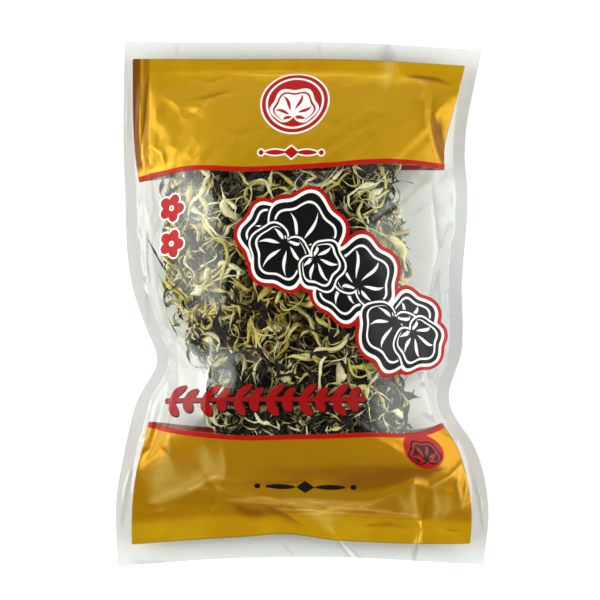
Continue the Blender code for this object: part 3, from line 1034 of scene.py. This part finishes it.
def strip_finish():
    recipe = Recipe("wood_ear_strip")
    across, tone = recipe.stored("across"), recipe.stored("tone")

    def streaks(waves, detail):
        """Noise stretched along the strip, which starts elsewhere on each strip."""
        places = zip("XYZ", (recipe.stored("along"), across, recipe.stored("number")), waves)
        sockets = {axis: place * often for axis, place, often in places}
        return recipe.grain(1.0, recipe.add("ShaderNodeCombineXYZ", sockets=sockets), detail)

    blotch, fibre = streaks(*BLOTCHES), streaks(*FIBRES)
    flesh = recipe.stored("side").rising(*FLESH_SIDE)
    pale = recipe.blend(tone.rising(*STRAW_TONES), CREAM, STRAW)
    ochre = (tone - OCHRE_MIDDLE) * OCHRE_FROM_TONE + blotch * OCHRE_FROM_BLOTCH
    pale = recipe.blend(ochre.rising(*OCHRE_SUMS), pale, OCHRE)
    pale = recipe.blend(fibre.rising(*FIBRE_LINES) * FIBRE_SHARE, pale, OCHRE)
    dark = recipe.blend(blotch.rising(*BROWN_BLOTCHES), SKIN_BLACK, SKIN_BROWN)
    edge = (across * across).rising(*EDGE_LINE) * (1 - flesh) * EDGE_SHARE
    wrinkles = recipe.grain(WRINKLE_SIZE, detail=3.0) + fibre
    return recipe.finish(recipe.surface(
        Base_Color=recipe.blend(edge, recipe.blend(flesh, dark, pale), CUT_EDGE),
        Roughness=flesh * (FLESH_ROUGHNESS - SKIN_ROUGHNESS) + SKIN_ROUGHNESS,
        Specular_IOR_Level=0.3,
        Normal=recipe.bump(wrinkles, WRINKLE_DEPTH, WRINKLE_STRENGTH),
    ))


strip_skin = strip_finish()
print("nodes in the strips' finish:", len(strip_skin.node_tree.nodes))

# %% Choose what differs from strip to strip
# Times STRIP_WIDTH: the least, the one that half of the strips lie under, and the most.
STRIP_GIRTHS, GIRTH_SPREAD = (0.36, 0.98, 2.15), 0.50
STRIP_LEAN = 0.40                    # radians, the spread of how far a strip leans over
# Each pile's share of the heap from below, sides and stations of a ribbon, and share of pale sides up.
PILES = {
    "deep_strips": (0.00, 0.36, 5, 20, 0.12),
    "low_strips": (0.36, 0.60, 6, 24, 0.24),
    "middle_strips": (0.60, 0.81, 6, 32, 0.54),
    "top_strips": (0.81, 1.00, 6, 34, 0.84),
}
# What the thin flanks add to that share, and how much of it counts from foot to top, as places
# and their values.
PALE_ACROSS = ((-0.058, -0.044, 0.044, 0.056), (0.42, 0.0, 0.0, 0.30))
PALE_ALONG = ((-0.065, -0.030, -0.012, 0.020, 0.065), (0.30, 0.36, 0.92, 1.08, 0.80))
# Strips far from a place near the middle are creamier, and near it straw.
WARM_PLACE, WARM_REACH, TONE_SHIFTS = (0.005, 0.004), (0.045, 0.038), (-0.22, 0.45)


def strip_traits(rng):
    """What chance gives each strip, by its number, so that its looks don't hang on its pile."""
    least, middling, most = STRIP_GIRTHS
    return {
        "luck": rng.random(STRIP_COUNT),
        "lean": rng.normal(0, STRIP_LEAN, STRIP_COUNT),
        "girth": np.clip(middling * rng.lognormal(0, GIRTH_SPREAD, STRIP_COUNT), least, most),
        "tone": rng.random(STRIP_COUNT),
    }


def strip_lines(name, numbers, pale_share, traits):
    """A mesh of open lines, one a strip, with what the sweep has to know about each."""
    mesh = bpy.data.meshes.new(name)
    chosen = strips[numbers]
    count, stations = chosen.shape[:2]
    firsts = np.arange(count * stations).reshape(count, stations)
    edges = np.stack((firsts[:, :-1].ravel(), firsts[:, 1:].ravel()), 1)
    mesh.from_pydata(chosen.reshape(-1, 3).tolist(), edges.tolist(), [])
    middles = chosen[:, :, :2].mean(1)
    x, y = middles.T
    pale_here = (pale_share + np.interp(x, *PALE_ACROSS)) * np.interp(y, *PALE_ALONG)
    pale_up = traits["luck"][numbers] < pale_here
    warm = np.exp(-(((middles - WARM_PLACE) / WARM_REACH) ** 2).sum(1))
    facts = {
        "number": numbers,
        "turn": np.where(pale_up, 0.0, math.pi) + traits["lean"][numbers],
        "girth": traits["girth"][numbers],
        "tone": traits["tone"][numbers] + np.interp(warm, (0, 1), TONE_SHIFTS),
    }
    for fact, values in facts.items():
        keep(mesh, fact, np.repeat(values, stations))
    return mesh


traits = strip_traits(np.random.default_rng(SEED + 2))
print("girths of the middle half of the strips:", np.quantile(traits["girth"], (0.25, 0.75)).round(2))

# %% Sweep the strips
STRIP_CLEAR = 0.0003                 # air between a strip's skin and the film that presses on it
STRIP_SIZES = {
    "Width": STRIP_WIDTH,
    "Thickness": STRIP_THICKNESS,
    "Cup": 0.00036,
    "Twist": 5.4,
    "Swell": 1.45,
    "Seed": float(SEED),
    "Finish": strip_skin,
}


def swept(name, mesh, tree, inputs):
    """The tree's result as a plain mesh object, with its skin kept clear of the films."""
    lines = placed(name + "_lines", mesh)
    modifier = lines.modifiers.new("sweep", "NODES")
    modifier.node_group = tree
    for item in tree.interface.items_tree:
        if item.item_type == "SOCKET" and item.in_out == "INPUT" and item.name in inputs:
            modifier[item.identifier] = inputs[item.name]
    piece = plain_piece(name, lines)
    places = points_of(piece.data)
    x, y, z = places.T
    z[:] = np.minimum(z, read_map(film_top, x, y) - STRIP_CLEAR)
    z[:] = np.maximum(z, read_map(film_base, x, y) + STRIP_CLEAR)
    move_points(piece.data, places)
    print(name, "has", sum(len(p.vertices) - 2 for p in piece.data.polygons), "triangles")
    return piece


order = np.argsort(strips[:, :, 2].max(1))
piles = {}
for name, (first, last, sides, stations, pale_share) in PILES.items():
    chosen = order[int(first * STRIP_COUNT):int(last * STRIP_COUNT)]
    mesh = strip_lines(name, chosen, pale_share, traits)
    piles[name] = swept(name, mesh, sweeping, STRIP_SIZES | {"Sides": sides, "Stations": stations})

# %% Hand the strips to the frame
strip_nodes = sorted(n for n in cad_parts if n.startswith("strip_"))
for name, pile in piles.items():
    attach(pile, "root")
for name in ("deep_strips", "low_strips", "middle_strips"):
    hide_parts("shredded_heap")
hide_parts(*strip_nodes)
print("strips of the frame that the top pile stands for:", len(strip_nodes))

# %% [markdown]
# ## The print
# The film is printed before it is made into a pouch, so the print belongs to the flat sheet and
# bends with it. Each printed shape is a formula on the flat sheet, in millimetres, that says how
# far a point lies from the shape's edge. Those distances are kept on the film's points, and the
# ink recipes turn them into crisp edges. The motifs are plain ones: a spray of wood ears, a
# medallion and a small seal with one ear each, a leafy garland, two rosettes and two dividers.

# %% Measure distances on the flat sheet
SHEET_LENGTH_MM = 288.0
MARGIN_LEFT = ((-144, -88.5), (60, -87.0), (78, -89.2), (144, -92.0))
MARGIN_RIGHT = ((-144, 88.0), (60, 84.5), (84, 84.5), (110, 87.8), (144, 89.0))
BAND_TOP = 134.6
BAND_FOOT = ((-92, -132.6), (-30, -132.4), (-8, -131.4), (17, -134.6), (45, -135.0), (92, -132.6))
TOP_RULE = ((-95, 68.0), (-62, 70.0), (-30, 67.5), (4, 68.4), (29, 70.4), (54, 73.8), (95, 77.5))
BOTTOM_RULE = ((-95, -64.5), (-60, -69.5), (-35, -71.5), (0, -70.5), (40, -69), (75, -68), (95, -60))
TURN_TOP, TURN_RUN, TURN_SLANT = 100, 40, 0.03   # where the left edge's turned strip widens
SLOPE_STEP, LEAST_SLOPE = 0.25, 0.25


def evened(shape, x, y):
    """Makes a shape's formula a distance, by its value over its slope."""
    value = shape(x, y)
    slope = np.hypot(shape(x + SLOPE_STEP, y) - value, shape(x, y + SLOPE_STEP) - value) / SLOPE_STEP
    return value / np.maximum(slope, LEAST_SLOPE)


def disc(x, y, centre, radius=0.0):
    return np.hypot(x - centre[0], y - centre[1]) - radius


def twig(x, y, points, radii):
    """A stick through some points, thick at one end and thin at the other."""
    found = np.full(np.shape(x), FAR)
    ends = np.linspace(*radii, len(points))
    for start, end, *thick in zip(points, points[1:], ends, ends[1:]):
        share, gap, _ = beside(x, y, start, end)
        found = np.minimum(found, gap - np.interp(share, (0, 1), thick))
    return found


def leaf(u, v, length, width):
    """A pointed leaf along u round the origin: where two discs overlap."""
    radius = (length**2 + width**2) / (4 * width)
    offset = radius - width / 2
    return np.maximum(np.hypot(u, v - offset), np.hypot(u, v + offset)) - radius


def turned(x, y, centre, angle):
    """A point's place along and across a direction from a centre."""
    x, y = x - centre[0], y - centre[1]
    return x * math.cos(angle) + y * math.sin(angle), y * math.cos(angle) - x * math.sin(angle)


print("printed width at the foot, mm:", MARGIN_RIGHT[0][1] - MARGIN_LEFT[0][1])

# %% Draw rosettes, garlands and dividers
PETALS, PETAL_CUT, PETAL_BLUNT, PETAL_TURN = 5, 0.40, 0.8, 0.3
EYE_SIZE = 0.22                 # in rosette sizes
LEAF_SIZE, LEAF_LEAN = (11.0, 5.4), 0.80
LEAF_START, LEAF_ALTERNATE = 0.45, 0.14     # in steps; and how far pairs differ from the mean size
LEAF_MIDDLE = (0.36, 0.42)      # in leaf lengths along and off the stem
BUD_SIZE, BUD_PAST = (7.0, 3.2), 2.5
LOZENGE_SLANT = 0.8
LINE_MIDDLE, LINE_SIZE, DOT_SIZE = 0.52, (0.72, 0.8), 0.42


def rosette(x, y, centre, size):
    """Petals round an open eye."""
    def petals(x, y):
        angle = np.arctan2(y - centre[1], x - centre[0])
        lobe = np.abs(np.cos(PETALS / 2 * angle + PETAL_TURN)) ** PETAL_BLUNT
        return disc(x, y, centre) - size * (1 - PETAL_CUT + PETAL_CUT * lobe)

    return np.maximum(evened(petals, x, y), size * EYE_SIZE - disc(x, y, centre))


def garland(x, y, start, end, pairs, stem_half):
    """A stem that runs from start to end with a pair of pointed leaves at every step, and a bud."""
    way = np.subtract(end, start)
    length = math.hypot(*way)
    along, off = turned(x, y, start, math.atan2(way[1], way[0]))
    off = np.abs(off)
    found = np.maximum(off - stem_half, np.maximum(-along, along - length))
    for pair in range(pairs):
        root = (pair + LEAF_START) * length / pairs
        size = LEAF_SIZE[0] * (1 - LEAF_ALTERNATE + LEAF_ALTERNATE * (-1) ** pair)
        middle = (root + size * LEAF_MIDDLE[0], size * LEAF_MIDDLE[1])
        found = np.minimum(found, leaf(*turned(along, off, middle, LEAF_LEAN), size, LEAF_SIZE[1]))
    return np.minimum(found, leaf(along - length - BUD_PAST, off, *BUD_SIZE))


def divider(x, y, centre, half_length, size):
    """A lozenge between two tapering lines with a dot past each."""
    dx, dy = np.abs(x - centre[0]), np.abs(y - centre[1])
    found = (dx * LOZENGE_SLANT + dy - size) / math.hypot(LOZENGE_SLANT, 1)
    line = leaf(dx - half_length * LINE_MIDDLE, dy, half_length * LINE_SIZE[0], size * LINE_SIZE[1])
    dot = np.hypot(dx - half_length, dy) - size * DOT_SIZE
    return np.minimum(np.minimum(found, line), dot)


# %% Draw a wood ear
EAR_FRILL, EAR_WAVES, EAR_FOLDS = 0.075, 7, 4
EAR_ROUNDNESS, LEAST_RIM = 0.55, 0.01
FOLD_FROM, FOLD_TO, FOLD_HALF = 0.20, 0.76, 0.75
FOLD_SWAY = (0.35, 3.0)
LIP_AT, LIP_HALF, LIP_ENDS = 0.84, 0.52, 2.2


def ear(x, y, foot, size, turn):
    """A wood ear that grows from its foot: its outline, and what draws its folds and its lip.

    A thin line is kept as two numbers that change smoothly: how far a point lies to one side of
    the line's middle, and half the line's width there.
    """
    def outward(x, y):
        angle = np.arctan2(y - foot[1], x - foot[0]) - math.radians(turn)
        return np.arctan2(np.sin(angle), np.cos(angle)), disc(x, y, foot)

    def rim(angle):
        lobe = (0.5 + 0.5 * np.cos(angle)) ** EAR_ROUNDNESS
        return size * lobe * (1 + EAR_FRILL * np.sin(EAR_WAVES * angle + size) * lobe)

    def outline(x, y):
        angle, reach = outward(x, y)
        return reach - rim(angle)

    angle, reach = outward(x, y)
    share = reach / np.maximum(rim(angle), LEAST_RIM)
    body = (share - FOLD_FROM) * (FOLD_TO - share) / ((FOLD_TO - FOLD_FROM) / 2) ** 2
    sway = FOLD_SWAY[0] * np.sin(FOLD_SWAY[1] * share)
    inner = {
        "fold": reach * np.sin(EAR_FOLDS * (angle + sway)) / EAR_FOLDS,
        "fold_half": FOLD_HALF * np.clip(body, -1, 1),
        "lip": (share - LIP_AT) * rim(angle),
        "lip_half": LIP_HALF * np.clip(LIP_ENDS - np.abs(angle), -1, 1),
    }
    return evened(outline, x, y), inner


def spray(x, y, ears, gap):
    """Overlapping ears: the outline of each, and the folds and the lip of the front one anywhere."""
    outlines, inside = {}, dict.fromkeys(("fold", "fold_half", "lip", "lip_half"), 0 * x)
    for number, (foot, size, turn) in enumerate(ears):
        outline, inner = ear(x, y, foot, size, turn)
        inside = {name: np.where(outline < gap, inner[name], inside[name]) for name in inside}
        outlines[f"ear_{number}"] = outline
    return outlines, inside


print("each ear has", EAR_FOLDS, "folds, and", EAR_WAVES, "waves in its rim")

# %% Place the motifs
EARS = (   # foot in millimetres, size, and where it grows to in degrees; from back to front
    ((-8, 33), 20, 172), ((4, 27), 27, 78), ((28, 12), 20, 262), ((36, 8), 24, 62),
    ((-4, 30), 22, 238), ((62, -10), 19, 20), ((12, 22), 17, 318), ((56, -8), 25, 252),
    ((66, -14), 19, 305),
)
TWIG = ((-22, 40), (0, 29), (28, 14), (56, -7), (76, -18))
TWIG_RADII = (3.0, 1.8)
EAR_GAP = 1.2
MEDAL_PLACE, MEDAL_EAR, MEDAL_ROOM = (-1.0, 106.5), ((-1.0, 98.6), 17.0, 90), 24.0
SEAL_PLACE, SEAL_EAR, SEAL_ROOM = (68.0, -80.0), ((68.0, -85.4), 11.5, 90), 14.0
GARLAND, SHADOW = ((-80.0, -53.5), (40.0, -50.5), 12, 1.1), (0.9, -0.9)
ROSETTES = (((-69.0, 51.5), 7.4), ((-69.5, 33.0), 7.4))
TITLE, NOTE = ((-1.0, 77.5), 17.0, 3.2), ((2.0, -101.0), 25.0, 3.8)


def drawn(x, y):
    """Every printed shape of the front, by name."""
    outlines, inside = spray(x, y, EARS, EAR_GAP)
    medal_ear, medal_inside = ear(x, y, *MEDAL_EAR)
    seal_ear, seal_inside = ear(x, y, *SEAL_EAR)
    near = disc(x, y, MEDAL_PLACE, MEDAL_ROOM) < 0, disc(x, y, SEAL_PLACE, SEAL_ROOM) < 0
    for name, spray_inside in inside.items():
        inside[name] = np.select(near, (medal_inside[name], seal_inside[name]), spray_inside)
    return outlines | inside | {
        "twig": twig(x, y, TWIG, TWIG_RADII),
        "medal": disc(x, y, MEDAL_PLACE),
        "medal_ear": medal_ear,
        "seal": disc(x, y, SEAL_PLACE),
        "seal_ear": seal_ear,
        "garland": garland(x, y, *GARLAND),
        "shadow": garland(x - SHADOW[0], y - SHADOW[1], *GARLAND),
        "rosettes": np.minimum(*(rosette(x, y, *place) for place in ROSETTES)),
        "title": divider(x, y, *TITLE),
        "note": divider(x, y, *NOTE),
    }


def bands(x, y):
    """The gold bands and their red rules, which both films carry."""
    inside = np.minimum(x - through(MARGIN_LEFT, y), through(MARGIN_RIGHT, y) - x)
    return {
        "top_band": y - through(TOP_RULE, x),
        "bottom_band": through(BOTTOM_RULE, x) - y,
        "margin": np.minimum(inside, np.minimum(y - through(BAND_FOOT, x), BAND_TOP - y)),
        "turned": x - through(MARGIN_LEFT, y) + np.clip(TURN_TOP - y, 0, TURN_RUN) * TURN_SLANT,
    }


def note_print(film, *drawings):
    """Keeps each shape's distance, and the flat place in millimetres, on the film's points."""
    mesh = film.data
    flat = np.zeros(len(mesh.vertices) * 3, np.float32)
    mesh.attributes["flat"].data.foreach_get("vector", flat)
    flat = flat.reshape(-1, 3) * (1 / MM, SHEET_LENGTH_MM, 1)
    mesh.attributes["flat"].data.foreach_set("vector", flat.astype(np.float32).ravel())
    for drawing in drawings:
        for name, distance in drawing(flat[:, 0], flat[:, 1]).items():
            keep(mesh, name, distance)


note_print(front_film, bands, drawn)
note_print(back_film, bands)
carried, carriers = len(front_film.data.attributes), len(front_film.data.vertices)
print("front film carries", carried, "attributes on", carriers, "points")

# %% [markdown]
# ## Film and inks
# Thin clear film is almost all see-through: what you notice is its gloss, which grows towards a
# glancing look. So the film mixes a Transparent shader with a mirror-like one, by how it is
# faced. Ink is opaque and lies behind the film's gloss: it turns the share of the solid shader
# up to one and gives it the ink's colour. The gold is a yellow ink with metal flakes in it, so
# it is only partly metallic and rather rough under a smooth coat.
# Its turned edge and the folds pressed into it are painted darker as shade, and its ridges paler as
# highlight.

# %% Mix the film
EDGE = 0.16                 # millimetres over which a printed edge fades
# The last of these golds is a painted highlight for raised folds.
GOLD, GOLD_DEEP, GOLD_PAINTED_HIGHLIGHT = ink(222, 173, 18), ink(208, 156, 15), ink(252, 220, 110)
GOLD_TOP, GOLD_FOOT = ink(197, 151, 19), ink(181, 127, 10)      # between a weld and the clear part
# Painted shade: one gold for a turned edge, and one for folds pressed in.
GOLD_PAINTED_EDGE_SHADE, GOLD_PAINTED_FOLD_SHADE = ink(108, 54, 4), ink(122, 72, 6)
RED, DEEP_RED = ink(161, 15, 10), ink(137, 15, 14)
BLACK, WHITE = ink(13, 13, 12), ink(234, 234, 228)
GLOSS = (0.95, 1.0, 0.93)
FILM_TINT = (0.952, 0.968, 0.956, 1)
FRONT_MIRROR, REAR_MIRROR = 0.088, 0.040                # where the film faces the camera
CREASE_MIRROR, CREASE_RISES = 0.16, (0.25, 1.1)         # what a sharp fold adds to that
GLANCE_POWER = 4            # how late it grows towards a glancing look
INK_QUICK = 4               # an ink has all of its colour where a quarter of it covers the film
RULE_WIDTH = 2.7
CLOUD_SIZE, CLOUD_EDGES = 30.0, (0.3, 0.7)
# Where each band's weld ends, where the gold past it is full, which end it is, and the gold.
GOLD_ENDS = ((123.5, 118.0, 1, GOLD_TOP), (-124.0, -118.0, -1, GOLD_FOOT))
GOLD_END_SHARE = 0.85
# The painted shade of a turned edge and the painted shadow past it: millimetres from the margin, and how
# much they darken.
TURNED_EDGE_SHADE = ((-9.0, 4.2, 0.95), (5.8, 9.2, 0.55))
TURNED_SHADE_FADE = (3.0, 9.0)
# Painted shade in folds pressed in and painted highlight on raised ones: the fold heights in millimetres
# over which each comes in, and how much.
FOLD_SHADE_RISES, FOLD_SHADE_SHARE = (-0.3, -1.15), 0.85
RIDGE_HIGHLIGHT_RISES, RIDGE_HIGHLIGHT_SHARE = (0.4, 1.4), 0.4
PAINTED_SHADE_METAL_LOSS = 0.6                # how much of its metal the gold loses where shade is painted on it
GOLD_METAL = 0.52
FILM_ROUGHNESS, FOIL_ROUGHNESS, INK_ROUGHNESS = 0.06, 0.22, 0.3
INK_COAT = 0.16
CRUMPLE_SIZE, CRUMPLE_DEPTH = 26, 2.2
DIMPLE_SIZE, DIMPLE_REACH = 7.0, 0.00012
# Millimetres that a rim reaches past its motif: white, white, and red with white inside it.
ROSETTE_RIM, TITLE_RIM, SPRAY_RIM, SPRAY_FIELD = 0.9, 0.8, 3.9, 1.7
SMALL_EAR_LINES, SPRAY_LINES = -0.8, -0.9       # how far inside an ear's edge its lines end
MEDAL_RIM, MEDAL_RADIUS, MEDAL_RING, SEAL_RADIUS = 19.0, 18.0, (14.9, 15.9), 10.6


def film_finish(name, front):
    recipe = Recipe(name)
    stored, blend = recipe.stored, recipe.blend

    def below(amount, high=0.0):
        return amount.rising(high + EDGE, high - EDGE)

    def within(amount, low, high):
        return amount.rising(low - EDGE, low + EDGE) * below(amount, high)

    def tinted(share):
        return (share * INK_QUICK).smaller(1)

    def stroke(name):
        return below(stored(name).unsigned() - stored(name + "_half"))

    flat = recipe.add("ShaderNodeAttribute", {"attribute_name": "flat"}, output="Vector")
    height = recipe.add("ShaderNodeSeparateXYZ", sockets={0: flat}, output="Y")
    margin = stored("margin").rising(-EDGE, EDGE)
    top, bottom = stored("top_band"), stored("bottom_band")
    gold = (top.rising(-EDGE, EDGE) + bottom.rising(-EDGE, EDGE)) * margin
    red = (within(top, 0.0, RULE_WIDTH) + within(bottom, 0.0, RULE_WIDTH)) * margin
    colour = blend(recipe.grain(CLOUD_SIZE, flat).rising(*CLOUD_EDGES), GOLD_DEEP, GOLD)
    for weld, full, end, tint in GOLD_ENDS:
        colour = blend(height.rising(weld, full) * height.rising(0, end) * GOLD_END_SHARE, colour, tint)
    # A painted shade on the left edge's turned strip, and a painted shadow past it.
    edge, shadow = (within(stored("turned"), low, high) * share for low, high, share in TURNED_EDGE_SHADE)
    painted_edge_shade = (edge + shadow) * top.rising(*TURNED_SHADE_FADE)
    rise = stored("rise")
    # Folds pressed in get a painted shade, and raised ones a painted highlight.
    painted_fold_shade = rise.rising(*FOLD_SHADE_RISES) * FOLD_SHADE_SHARE
    colour = blend(painted_fold_shade, blend(painted_edge_shade, colour, GOLD_PAINTED_EDGE_SHADE), GOLD_PAINTED_FOLD_SHADE)
    colour = blend(rise.rising(*RIDGE_HIGHLIGHT_RISES) * RIDGE_HIGHLIGHT_SHARE, colour, GOLD_PAINTED_HIGHLIGHT)
    colour = blend(red, colour, RED)
    # Where shade is painted, the gold also loses part of its metal.
    printed, metal = gold, gold * (1 - red) * (1 - painted_edge_shade.larger(painted_fold_shade) * PAINTED_SHADE_METAL_LOSS)
    layers = []
    if front:
        ears = emblem = stored("twig")
        for number in range(len(EARS)):
            outline = stored(f"ear_{number}")
            ears = ears.larger(EAR_GAP - outline).smaller(outline)
            emblem = emblem.smaller(outline)
        medal, medal_ear, seal_ear = stored("medal"), stored("medal_ear"), stored("seal_ear")
        rosettes, title = stored("rosettes"), stored("title")
        lines = stroke("fold").larger(stroke("lip"))
        layers = [
            (below(stored("shadow")), BLACK), (below(stored("garland")), DEEP_RED),
            (below(rosettes, ROSETTE_RIM), WHITE), (below(rosettes), RED),
            (below(title, TITLE_RIM), WHITE), (below(title), RED), (below(stored("note")), BLACK),
            (below(medal, MEDAL_RIM), WHITE), (below(medal, MEDAL_RADIUS), RED),
            (within(medal, *MEDAL_RING), WHITE), (below(medal_ear), WHITE),
            (lines * below(medal_ear, SMALL_EAR_LINES), RED),
            (below(stored("seal"), SEAL_RADIUS), RED), (below(seal_ear), BLACK),
            (lines * below(seal_ear, SMALL_EAR_LINES), RED),
            (below(emblem, SPRAY_RIM), RED), (below(emblem, SPRAY_FIELD), WHITE), (below(ears), BLACK),
            (lines * below(ears, SPRAY_LINES), WHITE),
        ]
    for share, tint in layers:
        colour = blend(tinted(share), colour, tint)
        printed = printed.larger(share)
        metal = metal * (1 - share)
    crumple = recipe.add(
        "ShaderNodeTexNoise", {"noise_type": "RIDGED_MULTIFRACTAL"},
        {"Vector": flat, "Scale": 1 / CRUMPLE_SIZE, "Detail": 2.0, "Offset": 1.0, "Gain": 1.0},
    )
    dents = recipe.grain(DIMPLE_SIZE, flat) + crumple * gold * CRUMPLE_DEPTH
    facing = recipe.add("ShaderNodeLayerWeight", sockets={"Blend": 0.5}, output="Facing")
    least = FRONT_MIRROR if front else REAR_MIRROR
    creased = rise.unsigned().rising(*CREASE_RISES) * CREASE_MIRROR
    mirror = least + facing ** GLANCE_POWER * (1 - least) + creased
    clear = recipe.add("ShaderNodeBsdfTransparent", sockets={"Color": FILM_TINT})
    body = recipe.surface(
        Base_Color=blend(tinted(printed), GLOSS, colour),
        Metallic=(1 - printed).larger(metal * GOLD_METAL),
        Roughness=FILM_ROUGHNESS + metal * FOIL_ROUGHNESS + (printed - metal) * INK_ROUGHNESS,
        Specular_IOR_Level=0.25,
        Coat_Weight=printed * INK_COAT,
        Coat_Roughness=FILM_ROUGHNESS,
        Normal=recipe.bump(dents, DIMPLE_REACH),
    )
    sockets = {0: mirror.larger(printed), 1: clear, 2: body}
    return recipe.finish(recipe.add("ShaderNodeMixShader", sockets=sockets))


dress = {
    front_film: ("front_film", film_finish("printed_film", True)),
    back_film: ("back_film", film_finish("rear_film", False)),
}
for film, (node, finish) in dress.items():
    film.data.materials.clear()
    film.data.materials.append(finish)
    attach(film, "root")
    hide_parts(node)
print("films dressed:", len(dress))

# %% [markdown]
# ## The finished size
# By now the frame has taken the dressed pieces back. At the end the size of the finished packet is
# printed, to set beside the frame's size printed at the start.

# %% Print the finished size
low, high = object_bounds()
print("visual box, mm:", [in_mm(b - a) for a, b in zip(low, high)], "from", in_mm(low.z))
